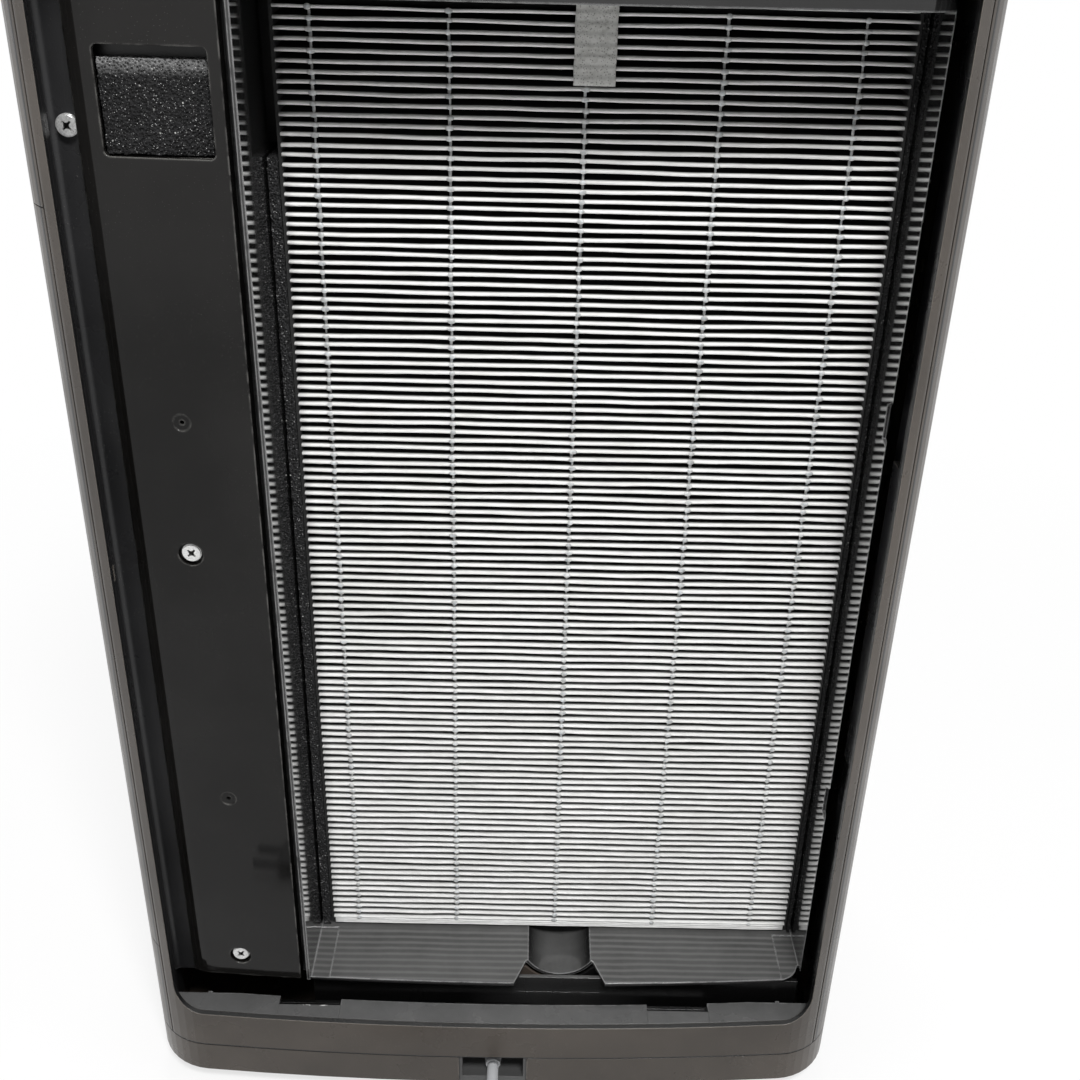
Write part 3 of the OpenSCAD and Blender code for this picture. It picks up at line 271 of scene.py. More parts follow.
def plastic(name, color, rough, grain=0.15, grain_scale=2600, dust=0.0, edge=None,
            specular=0.5, smudge=0.06, bevel=0.0005, film=0.0, wear_and_highlight_patches=(0.4, 0.62),
            wear_and_highlight_width=0.0012, shade=None, edge_highlight=None, spared=None, wall_coat=0.0, dulled=None):
    """Moulded plastic: fine grain, uneven gloss, dust specks and film, edges lighter, partly rubbed
    wear and partly painted highlight.

    shade(m, c) changes the colour in places. One mask gives where the lighter edges run unbroken as
    a painted highlight, spared(m) where there are none, and dulled(m) where the gloss is lost.
    wall_coat is a clear coat on the walls that face along X.
    """
    m = Nodes(name, color, rough, specular=specular)
    light = tuple(min(1, c * 1.35 + 0.004) for c in color)
    dark = tuple(c * 0.8 for c in color)
    c = m.blend(m.span(m.noise(14, 4), 0.35, 0.68), dark, light)
    if dust:
        speck = m.span(m.cells(900), 0.10, 0.04)
        area = m.span(m.noise(30, 3), 0.45, 0.62)
        c = m.blend(m.times(speck, area, dust), c, DUST_SPECK)
    if film:
        veil = m.span(m.noise(45, 5, 0.7), 0.25, 0.75, 0.6 * film, film)
        c = m.blend(m.times(m.span(m.faces("Z"), 0.6, 0.95), veil), c, DUST_FILM)
    if shade:
        c = shade(m, c)
    # Lighter edges: rubbed wear in patches, and painted highlight where they run unbroken
    if edge:
        patch = m.span(m.noise(160, 4), *wear_and_highlight_patches)
        if edge_highlight:
            patch = m.either(patch, edge_highlight(m))
        if spared:
            patch = m.times(patch, m.without(spared(m)))
        c = m.blend(m.times(m.edges(wear_and_highlight_width), patch), c, edge)
    m.color(c)
    if wall_coat:
        m.link(m.span(m.maths("ABSOLUTE", m.faces("X")), 0.9, 0.99, 0, wall_coat),
               m.b.inputs["Coat Weight"])
    uneven = m.span(m.noise(22, 5, 0.6), 0.3, 0.72, max(0.03, rough - smudge), rough + smudge)
    if dulled:
        uneven = m.either(uneven, m.times(dulled(m), DULL_ROUGHNESS))
    m.rough(uneven)
    if bevel:
        m.bevel(bevel)
    m.bump(m.noise(grain_scale, 2), grain, GRAIN_HEIGHT)
    return m.done()


# Places on the casing, millimetres
SPLIT_X = 161.0     # joint between the rear frame's strips and the side shell
SEAM_Z = 26.4       # joint between the base tray and the casing
TOP_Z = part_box("side_shell")[1][2] / MM + 0.2   # joint under the top cover
GROOVE_HALF, JOINT_HALF = 0.45, 0.35            # half widths of the joints' dark lines
BACK_Y = 130        # past the casing's rearmost surface
SKIRT_FRONT = 98.6  # just before the wall under the shelf
SHELF_Z, SHELF_Y = (57.3, 58.2), 72             # the shelf's upper side, and where it starts
# Step of the painted reflection of the pleats on the shelf, metres
REFLECTION_STEP = 0.0039
CHANNEL_SHADE_Z = 43.6    # painted shade: black below this in the ledge's deep channel
SCUFF_X, SCUFF_Y, SCUFF_Z = (83, 93), (112.2, 113.1), (44.6, 47)
SCOOP_LIT_X, SCOOP_FADE = (-44, -20), 34
window_lo, window_hi = mm_box("sensor_foam")
BLACK = srgb(9, 9, 9)
# Painted reflection of the pleats on the shelf, white scuffs, painted shadow in the sensor window's
# gap
PLEAT_REFLECTION, SCUFF, WINDOW_GAP_SHADOW = srgb(150, 150, 149), srgb(214, 214, 212), srgb(4, 4, 4)
# Painted shade for the rear frame's inward faces, and the grey of its upward faces
FRAME_INSIDE_SHADE, FRAME_TOP = srgb(27, 27, 28), srgb(52, 52, 52)


def groove(m, c):
    """Dirt in the casing's joints."""
    upright = m.between("X", SPLIT_X - GROOVE_HALF, SPLIT_X + GROOVE_HALF, 0.35, mirrored=True)
    near = m.times(upright, m.times(m.between("Y", 90, BACK_Y), m.between("Z", 27, 545)))
    for z in (SEAM_Z, TOP_Z):
        near = m.either(near, m.between("Z", z - JOINT_HALF, z + JOINT_HALF, 0.25))
    return m.blend(near, c, BLACK)


def beside_joints(m):
    level = m.either(m.between("Z", SEAM_Z - 1.6, SEAM_Z + 1.6),
                     m.between("Z", TOP_Z - 1.6, TOP_Z + 1.6))
    return m.either(level, m.between("X", SPLIT_X - 2, SPLIT_X + 2, mirrored=True))


def frame_shade(m, c):
    """Painted shade: neutral black where the frame looks inwards. Grey where it looks up."""
    inwards = m.dot(m.facing, m.scaled(-1, -1, 0))
    c = m.blend(m.span(inwards, 0.0, 0.01), c, FRAME_INSIDE_SHADE)
    c = m.blend(m.span(m.faces("Z"), 0.6, 0.9), c, FRAME_TOP)
    return groove(m, c)


def ledge_shade(m, c):
    """Painted shade: black down in the channel. White scuffs in one of the tab slots."""
    c = m.blend(m.between("Z", 0, CHANNEL_SHADE_Z, 0.8), c, BLACK)
    rubbed = m.span(m.noise(420, 3, 0.7, m.scaled(0.6, 1, 1)), 0.47, 0.53)
    place = m.times(m.between("X", *SCUFF_X, 2.0), m.times(
        m.between("Y", *SCUFF_Y, 0.25), m.between("Z", *SCUFF_Z, 0.6)))
    return m.blend(m.times(rubbed, place), c, SCUFF)


def ledge_spared(m):
    return m.either(m.between("Y", 112.5, BACK_Y, 0.06), m.between("Z", 0, 43.8))


def well_shade(m, c):
    """Painted reflection of the pleats in streaks on the shelf, and painted shadow, black, under it
    except behind the scoop, where light comes through.
    """
    # Painted reflection: stripes at the pleats' step
    wave = m.maths("ADD", m.times(m.axis("Y"), 2 * math.pi / REFLECTION_STEP),
                   m.times(m.noise(35, 3), 3.0))
    shelf = m.times(m.between("Z", *SHELF_Z, 0.2), m.between("Y", SHELF_Y, BACK_Y))
    c = m.blend(m.times(m.span(m.maths("SINE", wave), -0.4, 1.0, 0, 0.2), shelf), c, PLEAT_REFLECTION)
    # Painted shadow under the shelf, lit where light comes through the scoop
    under = m.times(m.between("Z", 0, 56.4, 0.4), m.between("Y", SKIRT_FRONT, BACK_Y))
    dark = m.times(under, m.without(m.between("X", *SCOOP_LIT_X, SCOOP_FADE)))
    return m.blend(dark, c, BLACK)


def under_shelf(m):
    return m.times(m.between("Z", 0, 57.0, 0.2), m.between("Y", SKIRT_FRONT, BACK_Y))


def flange_shade(m, c):
    """Painted shadow: black in the gap over the foam in the sensor window."""
    gap = m.times(m.between("Z", window_lo[2], window_hi[2] + 12),
                  m.times(m.between("X", window_lo[0] - 4, window_hi[0] + 4),
                          m.between("Y", 90, 99)))
    return m.blend(gap, c, WINDOW_GAP_SHADOW)


# Painted highlight: along the sensor window's lower rim the lighter edges run unbroken
def window_rim_highlight(m):
    return m.times(m.between("Z", window_lo[2] - 5, window_lo[2] + 1),
                   m.between("X", window_lo[0] - 6, window_hi[0] + 6))


def core_shade(m, c):
    """Painted shade: dark on one side of the scoop."""
    return m.blend(m.between("X", -31, 40, 4), BLACK, c)


CASING = dict(grain=0.35, grain_scale=2200, dust=0.8, edge=srgb(128, 122, 115), bevel=0.0008,
              smudge=0.08, specular=0.35)
CASING_BROWN = srgb(60, 54, 48)
casing = plastic("casing_plastic", CASING_BROWN, 0.3, shade=groove, spared=beside_joints,
                 **CASING)
# Painted highlight: over the rear frame's middle its lighter edges run unbroken
casing_rear = plastic("casing_rear_plastic", CASING_BROWN, 0.3, shade=frame_shade,
                      wear_and_highlight_width=0.0007, edge_highlight=lambda m: m.between("X", 0, 158.5, mirrored=True),
                      spared=beside_joints, **CASING)
ledge_mat = plastic("ledge_plastic", srgb(40, 40, 41), 0.26, grain=0.25, grain_scale=2200,
                    dust=0.8, edge=srgb(150, 150, 150), bevel=0.0006, smudge=0.1, specular=0.4,
                    film=0.27, shade=ledge_shade, spared=ledge_spared)
casing_plain = plastic("casing_inner_plastic", srgb(62, 55, 49), 0.5, grain=0.35,
                       grain_scale=2200, specular=0.3, shade=core_shade)
flange_mat = plastic("flange_plastic", srgb(31, 31, 32), 0.3, grain=0.35, grain_scale=2200,
                     dust=1.0, edge=srgb(120, 120, 120), bevel=0.0006, smudge=0.1, specular=0.35,
                     film=0.12, shade=flange_shade)
gloss = plastic("smoky_gloss_plastic", srgb(17, 16, 15), 0.06, grain=0.02, dust=0.35,
                edge=srgb(112, 111, 108), bevel=0.0006, smudge=0.03, specular=0.22,
                edge_highlight=window_rim_highlight)
well_black = plastic("well_black_plastic", srgb(30, 30, 30), 0.06, grain=0.03, dust=0.3,
                     edge=srgb(160, 160, 160), bevel=0.0005, smudge=0.02, film=0.24,
                     wear_and_highlight_patches=(0.25, 0.5), shade=well_shade, spared=under_shelf, wall_coat=1.0,
                     dulled=under_shelf)
matte_black = plastic("matt_black_plastic", srgb(30, 30, 31), 0.5, grain=0.4, dust=0.1)
liner_grey = plastic("liner_grey_plastic", srgb(62, 62, 62), 0.45, grain=0.3, dust=0.3)
pale = plastic("pale_grey_plastic", srgb(196, 198, 198), 0.42, grain=0.2)
pinion_mat = plastic("pinion_plastic", srgb(225, 222, 212), 0.45, grain=0.2)
button_mat = plastic("button_plastic", srgb(44, 44, 45), 0.38, grain=0.4, grain_scale=3200)
cap_mat = plastic("blue_cap_plastic", srgb(52, 96, 146), 0.42, grain=0.25)
rubber = plastic("black_rubber", srgb(28, 28, 28), 0.72, grain=0.5, grain_scale=1500, dust=0.2)
cord_mat = plastic("grey_cord_rubber", srgb(166, 167, 169), 0.48, grain=0.3, grain_scale=1400,
                   bevel=0)
card = plastic("black_card", srgb(24, 24, 24), 0.85, grain=0.8, grain_scale=900, bevel=0,
               dust=1.0)


PAPER_SHADE_DEPTH, GLUE_SHADE_DEPTH = (0.0668, 0.0690), (0.0680, 0.0693)   # where painted shade darkens them deep between the pleats, Y in metres


def paper_material():
    m = Nodes("filter_paper", srgb(236, 236, 234), 0.9, specular=0.2)
    m.b.inputs["Subsurface Weight"].default_value = 0.12
    m.b.inputs["Subsurface Radius"].default_value = (0.002, 0.002, 0.002)
    m.b.inputs["Subsurface Scale"].default_value = 0.4
    fibre = m.noise(420, 5, 0.65, m.scaled(0.25, 1, 1))
    blotch = m.noise(26, 4, 0.6)
    c = m.blend(m.span(fibre, 0.3, 0.75), srgb(214, 214, 212), srgb(243, 243, 242))
    c = m.blend(m.span(blotch, 0.45, 0.72, 0, 0.35), c, srgb(203, 203, 199))
    # Painted shade: almost black deep between the pleats
    c = m.blend(m.span(m.axis("Y"), *PAPER_SHADE_DEPTH), srgb(14, 14, 14), c)
    m.color(c)
    m.rough(m.span(fibre, 0.3, 0.7, 0.82, 0.97))
    m.bump(fibre, 0.6, 0.0002)
    return m.done()


def glue_material():
    m = Nodes("hot_glue", srgb(214, 214, 210), 0.35, specular=0.4)
    m.b.inputs["Subsurface Weight"].default_value = 0.2
    m.b.inputs["Subsurface Scale"].default_value = 0.3
    c = m.blend(m.span(m.noise(420, 3), 0.35, 0.65), srgb(178, 178, 176), srgb(232, 232, 230))
    # Painted shade: darker deep between the pleats
    c = m.blend(m.span(m.axis("Y"), *GLUE_SHADE_DEPTH), srgb(96, 96, 95), c)
    m.color(c)
    m.rough(m.span(m.noise(500, 3), 0.3, 0.7, 0.25, 0.5))
    return m.done()


def foam_material(name, strand, glints, top_z=None):
    """Open cells: painted shade black in the holes, grey strands between them with painted glints,
    and painted light on the strands near a lit top.
    """
    m = Nodes(name, srgb(20, 20, 21), 0.8, specular=0.25)
    hole = m.cells(1000)
    glint = m.cells(1500)
    c = m.blend(m.span(hole, 0.3, 0.6), srgb(4, 4, 4), (strand, strand, strand * 1.05))
    # Painted light: strands lighter near the lit top
    if top_z:
        lit = m.span(m.axis("Z"), top_z - 0.0062, top_z - 0.0008)
        c = m.blend(m.times(lit, m.span(hole, 0.15, 0.5)), c, srgb(128, 128, 128))
    # Painted glints on the strands
    bright = m.times(m.span(glint, 0.28, 0.12), m.span(m.noise(1300, 2), 0.48, 0.64), glints)
    c = m.blend(bright, c, srgb(225, 225, 224))
    lint = m.times(m.span(m.cells(380), 0.16, 0.08), m.span(m.noise(90, 3), 0.5, 0.6))
    c = m.blend(lint, c, srgb(185, 185, 182))
    m.color(c)
    m.rough(m.span(hole, 0, 1, 0.6, 0.9))
    m.bump(hole, 1.0, 0.0012)
    return m.done()


SCRATCH_HEIGHT = 0.00008
METAL_BEVEL = 0.0002


def metal(name, color, rough):
    m = Nodes(name, color, rough, metallic=1.0)
    grain = m.noise(900, 4, 0.6, m.scaled(1, 0.15, 1))
    dark = tuple(c * 0.72 for c in color)
    m.color(m.blend(m.span(grain, 0.3, 0.7), dark, color))
    m.rough(m.span(m.noise(400, 4), 0.3, 0.7, rough - 0.08, rough + 0.14))
    m.bevel(METAL_BEVEL)
    m.bump(grain, 0.35, SCRATCH_HEIGHT)
    return m.done()


# Screw heads: X and Z of the middle in millimetres, turn of the cross in degrees
SCREW_HEADS = [(124.1, 291.3, 45), (123.0, 71.7, 45), (151.6, 456.0, 45)]
CROSS_EDGE = (0.62e-6, 0.36e-6)     # product of the distances from both arms, square metres
CROSS_REACH = (0.00215, 0.00185)


def screw_material():
    """Zinc screw heads, each with painted shade in the cross recess in its middle, at its own turn.
    """
    m = Nodes("zinc_screw_heads", srgb(226, 226, 224), 0.32, metallic=0.65, specular=0.5)
    grain = m.noise(1500, 4, 0.6)
    c = m.blend(m.span(grain, 0.35, 0.7), srgb(196, 196, 195), srgb(236, 236, 235))
    along_x, along_z = m.axis("X"), m.axis("Z")
    dark = None
    for x, z, turn in SCREW_HEADS:
        a = math.radians(turn)
        dx = m.maths("SUBTRACT", along_x, x * MM)
        dz = m.maths("SUBTRACT", along_z, z * MM)
        u = m.maths("ABSOLUTE", m.maths("ADD", m.times(dx, math.cos(a)),
                                        m.times(dz, math.sin(a))))
        v = m.maths("ABSOLUTE", m.maths("SUBTRACT", m.times(dz, math.cos(a)),
                                        m.times(dx, math.sin(a))))
        # The arms of the cross taper: the product of both distances is small along them
        arms = m.span(m.times(u, v), *CROSS_EDGE)
        near = m.span(m.either(u, v), *CROSS_REACH)
        cross = m.times(arms, near)
        dark = cross if dark is None else m.either(dark, cross)
    # Painted shade: the recessed cross darker
    m.color(m.blend(dark, c, srgb(22, 22, 22)))
    m.rough(m.span(m.noise(400, 4), 0.3, 0.7, 0.25, 0.45))
    m.bevel(METAL_BEVEL)
    m.bump(grain, 0.3, SCRATCH_HEIGHT)
    return m.done()


STRIPE_STEP = 0.003685      # one pleat


def cloth_tape():
    m = Nodes("pull_tab_cloth", srgb(205, 205, 200), 0.85, specular=0.2)
    m.b.inputs["Sheen Weight"].default_value = 0.2
    weave = m.cells(640, vec=m.scaled(1, 0.2, 1))
    patch = m.noise(240, 4, 0.7)
    c = m.blend(m.span(patch, 0.4, 0.66), srgb(196, 196, 193), srgb(172, 172, 168))
    c = m.blend(m.span(m.cells(1150), 0.36, 0.2, 0, 0.55), c, srgb(84, 84, 82))
    # Painted shade of the pleats behind, as faint darker stripes
    fold = m.maths("SINE", m.times(m.axis("Z"), 2 * math.pi / STRIPE_STEP))
    c = m.blend(m.span(fold, -0.2, 1.0, 0, 0.32), c, srgb(112, 112, 110))
    m.color(c)
    m.rough(m.span(patch, 0.3, 0.7, 0.75, 0.95))
    m.bump(weave, 0.8, 0.0003)
    return m.done()


def wick_material():
    m = Nodes("wick_honeycomb", srgb(225, 232, 233), 0.85, specular=0.2)
    comb = m.cells(170, "DISTANCE_TO_EDGE")
    # Painted shade: darker in the middles of the honeycomb's cells
    c = m.blend(m.span(comb, 0.02, 0.2), srgb(236, 240, 240), srgb(118, 132, 138))
    m.color(c)
    m.rough(m.span(comb, 0, 0.3, 0.7, 0.95))
    m.bump(m.span(comb, 0.0, 0.12, 1, 0), 1.0, 0.0015)
    return m.done()


def board_material():
    m = Nodes("green_board", srgb(32, 92, 58), 0.35, coat=0.3)
    tracks = m.cells(260)
    c = m.blend(m.span(tracks, 0.28, 0.33), srgb(52, 122, 78), srgb(24, 76, 47))
    m.color(c)
    m.rough(m.span(m.noise(120, 3), 0.3, 0.7, 0.25, 0.5))
    m.bump(tracks, 0.2, 0.0002)
    return m.done()


def tank_material():
    m = Nodes("tank_plastic", srgb(168, 190, 202), 0.2, specular=0.5)
    m.b.inputs["Transmission Weight"].default_value = 0.55
    m.b.inputs["IOR"].default_value = 1.45
    haze = m.noise(9, 4)
    m.color(m.blend(m.span(haze, 0.3, 0.7), srgb(150, 176, 190), srgb(188, 206, 215)))
    m.rough(m.span(m.noise(35, 4), 0.3, 0.7, 0.14, 0.3))
    m.bump(m.noise(400, 2), 0.1, 0.0001)
    return m.done()


paper = paper_material()
glue = glue_material()
foam = foam_material("open_cell_foam", 0.013, 1.0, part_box("sensor_foam")[1][2])
# Lit and shaded copies of the gasket foam: strand colour and glints are painted light and shade
foam_lit = foam_material("gasket_foam_lit", 0.02, 1.0)
foam_shaded = foam_material("gasket_foam_shaded", 0.007, 0.35)
screw_steel = metal("zinc_steel", srgb(190, 192, 194), 0.3)
screw_heads = screw_material()
motor_metal = metal("motor_can", srgb(150, 152, 154), 0.42)
tape = cloth_tape()
wick = wick_material()
board = board_material()
tank = tank_material()

LOOKS = {
    casing: ("base_tray", "side_shell", "top_cover", "tank_door"),
    casing_rear: ("rear_frame",),
    ledge_mat: ("cover_ledge", "cover_catches"),
    flange_mat: ("side_flange",),
    gloss: ("front_panel", "louver_flap", "control_panel", "side_cover"),
    well_black: ("filter_well", "well_grille"),
    matte_black: ("chassis", "outlet_grille", "carry_grips", "carbon_frame", "carbon_core",
                  "fan_scroll", "inlet_bell", "tank_bay", "tank_rails"),
    button_mat: ("button_power", "button_speed", "button_mode", "button_humidify", "button_lock"),
    liner_grey: ("cord_liner",),
    pale: ("humidifier_tray", "humidifier_wheel", "ion_unit", "fan_rotor"),
    pinion_mat: ("wheel_pinion",),
    cap_mat: ("tank_cap",),
    rubber: ("rubber_feet",),
    card: ("hepa_frame",),
    paper: ("hepa_pleats",),
    glue: ("hepa_beads",),
    foam: ("hepa_gasket", "sensor_foam"),
    tape: ("hepa_pull_tab",),
    screw_heads: ("cover_screws",),
    screw_steel: ("motor_screws", "rotor_nut", "motor_shaft", "wheel_axle",
                  "plug_pins"),
    motor_metal: ("fan_motor", "wheel_motor"),
    wick: ("wheel_wick",),
    board: ("control_board", "sensor_board", "power_board"),
    tank: ("tank_body",),
    cord_mat: ("strain_relief", "power_cord", "cord_coil", "cord_lead", "plug_body"),
}
for material, names in LOOKS.items():
    for name in names:
        for slot in nodes[name].material_slots:
            slot.material = material

# ---------------------------------------------------------------- cord
# Millimetres, degrees
CORD_D = 5.5
COIL_X, COIL_Y, COIL_MEAN = 46.5, 207.0, 32.0
FLOOR_Z = CORD_D / 2 + 0.1
ROUTE = [(0, 120, 15.5), (0, 124, 15.5), (0, 128, 15.4), (0, 132, 14.9), (0, 136, 14.0),
         (-0.1, 140, 12.5), (-0.3, 144, 10.6), (-0.7, 148, 8.4), (-1.1, 152, 6.3),
         (-1.5, 156, 4.6), (-1.8, 160, 3.4), (-1.9, 165, FLOOR_Z), (-1.5, 170, FLOOR_Z),
         (-0.4, 176, FLOOR_Z), (1.6, 182, FLOOR_Z), (3.9, 188, FLOOR_Z), (5.6, 193, FLOOR_Z),
         (7.4, 198.5, FLOOR_Z), (8.6, 203, FLOOR_Z)]
LEAD = [(50, 244.5, 13.6), (54, 244.5, 12.8), (58, 244.5, 11.6), (62, 244.5, 10.0),
        (65, 244.5, 8.5), (68, 244.5, 7.1), (71, 244.5, 5.8), (74, 244.5, 4.7),
        (79, 244.5, 3.5), (85, 244.5, FLOOR_Z), (91, 244.5, 3.1), (97, 244.5, 4.1),
        (103, 244.5, 5.3), (109, 244.5, 6.0)]
# Places of the coil's turns in its section: steps outwards and upwards, in winding order
SLOTS = [(2, 0), (1, 0), (0, 0), (0, 1), (0, 2), (1, 2), (1, 1), (2, 1), (2, 2)]
FIRST_STEP, STEP_TURN, STEP_HALF, COIL_TURN = 330, 320, 60, 8 * 360 + 90
KNOT_TURN = 15


def smooth(t):
    t = max(0.0, min(1.0, t))
    return t * t * (3 - 2 * t)


def coil_point(turn):
    """Point of the coil after turning so many degrees from its left side, clockwise."""
    out, up = SLOTS[0]
    for k in range(1, len(SLOTS)):
        middle = FIRST_STEP + STEP_TURN * (k - 1)
        t = smooth((turn - middle + STEP_HALF) / (2 * STEP_HALF))
        out += t * (SLOTS[k][0] - SLOTS[k - 1][0])
        up += t * (SLOTS[k][1] - SLOTS[k - 1][1])
    r = COIL_MEAN + (out - 1) * CORD_D
    a = math.radians(180 - turn)
    return (COIL_X + r * math.cos(a), COIL_Y + r * math.sin(a), FLOOR_Z + up * CORD_D)


def catmull(points, parts):
    """Smooth line through the points."""
    out = []
    last = len(points) - 1
    for i in range(last):
        p = [Vector(points[max(0, min(last, i + k))]) for k in (-1, 0, 1, 2)]
        for j in range(parts):
            t = j / parts
            out.append(0.5 * (2 * p[1] + (p[2] - p[0]) * t
                              + (2 * p[0] - 5 * p[1] + 4 * p[2] - p[3]) * t * t
                              + (3 * p[1] - p[0] - 3 * p[2] + p[3]) * t ** 3))
    out.append(Vector(points[-1]))
    return out


cord_knots = ROUTE + [coil_point(a) for a in range(0, COIL_TURN + 1, KNOT_TURN)] + LEAD
cord_line = [p * MM for p in catmull(cord_knots, 2)]


def tube(name, line, r, sides=16):
    """Tube along a line of points, its ends closed."""
    rings = []
    side = Vector((1, 0, 0))
    for i, p in enumerate(line):
        d = (line[min(i + 1, len(line) - 1)] - line[max(i - 1, 0)]).normalized()
        side = (side - d * side.dot(d)).normalized()
        up = d.cross(side)
        rings.append([tuple(p + (side * math.cos(2 * math.pi * k / sides)
                                 + up * math.sin(2 * math.pi * k / sides)) * r)
                      for k in range(sides)])
    return loft(name, rings)


cord = tube("mains_cord", cord_line, CORD_D / 2 * MM)
cord.data.materials.append(cord_mat)

# Moulded strain relief: collar in the liner's hole, then a ribbed taper; Y and radius
EXIT_Z = 15.5
RELIEF = [(90, 6.4), (93.9, 6.4), (94, 4.35), (109.6, 4.35), (110, 4.9), (112.2, 4.9), (112.6, 4.3),
          (114, 4.2), (114.3, 3.7), (115.1, 3.7), (115.4, 4.1), (116.6, 4.0), (116.9, 3.5),
          (117.6, 3.5), (117.9, 3.8), (119.6, 3.6), (120, 3.3), (120, 2.7)]
relief = loft("strain_relief_boot", [ring_y(0, EXIT_Z * MM, y * MM, r * MM) for y, r in RELIEF],
              smooth=False)
relief.data.materials.append(cord_mat)


def superellipse(y, z, w, h, n=36, power=4.0):
    out = []
    for k in range(n):
        a = 2 * math.pi * k / n
        c, s = math.cos(a), math.sin(a)
        out.append((y + w * math.copysign(abs(c) ** (2 / power), c),
                    z + h * math.copysign(abs(s) ** (2 / power), s)))
    return out


# Moulded plug with finger ribs: X, height of the middle, half width, half height, squareness
PLUG_Y, PLUG_SHIFT = 244.5, 0.5
PLUG = [(108.5, 6.0, 3.3, 3.3, 2), (110, 6.0, 3.8, 3.8, 2), (113, 6.3, 3.9, 3.9, 2),
        (113.4, 6.3, 3.4, 3.4, 2), (114.4, 6.4, 3.4, 3.4, 2), (114.8, 6.4, 4.0, 4.0, 2),
        (117, 6.8, 4.1, 4.1, 2), (117.4, 6.8, 3.6, 3.6, 2), (118.4, 7, 3.6, 3.6, 2),
        (118.8, 7, 4.3, 4.2, 2), (121, 7.6, 5.6, 5.0, 2.6), (124, 8, 9.0, 6.6, 3.2),
        (128, 8.1, 11.2, 7.5, 4), (131, 8.1, 11.8, 7.8, 5), (132, 8.1, 11.3, 7.3, 5),
        (133, 8.1, 11.8, 7.8, 5), (136, 8.1, 11.9, 7.9, 5), (137, 8.1, 11.4, 7.4, 5),
        (138, 8.1, 11.9, 7.9, 5), (145.4, 8.1, 11.9, 7.9, 6), (146.6, 8.1, 11.4, 7.5, 6),
        (147, 8.1, 10.6, 6.9, 6)]
plug = loft("moulded_plug", [[((x + PLUG_SHIFT) * MM, y * MM, z * MM) for y, z in
                              superellipse(PLUG_Y, cz, w, h, power=p)]
                             for x, cz, w, h, p in PLUG])
plug.data.materials.append(cord_mat)

# Tie round the coil
tie_mat = plastic("cord_tie", srgb(40, 40, 41), 0.6, grain=0.5, grain_scale=1800)
TIE_A, TIE_W, TIE_T = -48, 5.0, 0.3
tie_half = CORD_D * 1.5 + 0.35


def tie_ring(inset, along):
    ring = []
    for u, v in superellipse(0, 0, tie_half - inset, tie_half - inset, n=40, power=7):
        r = COIL_MEAN + u
        a = math.radians(TIE_A)
        x = COIL_X + r * math.cos(a) - along * math.sin(a)
        y = COIL_Y + r * math.sin(a) + along * math.cos(a)
        ring.append((x * MM, y * MM, (max(v + FLOOR_Z + CORD_D, 0.05 + inset * 0.1)) * MM))
    return ring


tie = loft("cord_tie", [tie_ring(0, -TIE_W / 2), tie_ring(0, TIE_W / 2), tie_ring(TIE_T, TIE_W / 2),
                        tie_ring(TIE_T, -TIE_W / 2), tie_ring(0, -TIE_W / 2)],
           closed_ends=False, smooth=False)
tie.data.materials.append(tie_mat)

for piece, hidden in ((cord, ("power_cord", "cord_coil", "cord_lead")),
                      (relief, ("strain_relief",)), (plug, ("plug_body",)), (tie, ())):
    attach(piece, "cabinet")
    if hidden:
        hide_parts(*hidden)

# ---------------------------------------------------------------- filter
rng = random.Random(7)
PLEATS, PITCH, TIP = 118, 3.685, 0.62
HEPA_X0, HEPA_X1, HEPA_Y, HEPA_D, HEPA_Z0 = -148.0, 83.5, 70.0, 32.0, 61.0
FIRST_PLEAT = 1.8
COLUMNS = 56


def pleat_z(k):
    return HEPA_Z0 + FIRST_PLEAT + k * PITCH


def wander(k, x):
    """How far a pleat's tip strays upwards and backwards at one place, millimetres."""
    p = Vector((x * 0.021, k * 0.63, 3.1))
    q = Vector((x * 0.075, k * 1.7, 9.4))
    up = 0.42 * noise.noise(p) + 0.16 * noise.noise(q)
    back = 0.30 * noise.noise(q + Vector((5, 0, 0)))
    return up, min(0.0, back - 0.12)


BOTTOM_POINTS = 4       # of a section, between one pleat and the next; the last pleat has none


def section(k, x):
    """Rear outline of one pleat in Y and Z: in along the lower wall, round the tip, back in."""
    up, back = wander(k, x)
    z = pleat_z(k) + up
    y = HEPA_Y + back
    half = PITCH / 2
    out = []
    for a in (-90, -60, -30, 0, 30, 60, 90):
        c, s = math.cos(math.radians(a)), math.sin(math.radians(a))
        out.append((y - TIP * 0.9 + TIP * 0.9 * c, z + TIP * 0.93 * s))
    deep = HEPA_Y - HEPA_D + 0.55
    out.append((deep + 10, pleat_z(k) + half * 0.93))
    out.append((deep, pleat_z(k) + half - 0.2))
    out.append((deep, pleat_z(k) + half + 0.2))
    out.append((deep + 10, pleat_z(k) + half * 1.07))
    return out


def pleat_sheet():
    verts, faces = [], []
    xs = [HEPA_X0 + (HEPA_X1 - HEPA_X0) * i / COLUMNS for i in range(COLUMNS + 1)]
    for x in xs:
        rear = [p for k in range(PLEATS) for p in section(k, x)][:-BOTTOM_POINTS]
        n = len(rear)
        verts += [(x * MM, y * MM, z * MM) for y, z in rear]
    for i in range(COLUMNS):
        for j in range(n - 1):
            a = i * n + j
            faces.append((a, a + 1, a + n + 1, a + n))
    return verts, faces


# Folds pressed flat against the frame's lower and upper lips: height at each side
END_FOLDS = [(59.35, 59.5), (60.35, 60.45), (61.4, 61.5), (497.4, 497.2), (498.2, 497.9)]
FOLD_Y, FOLD_INSET, FOLD_RY, FOLD_RZ = 69.25, 0.7, 0.62, 0.56


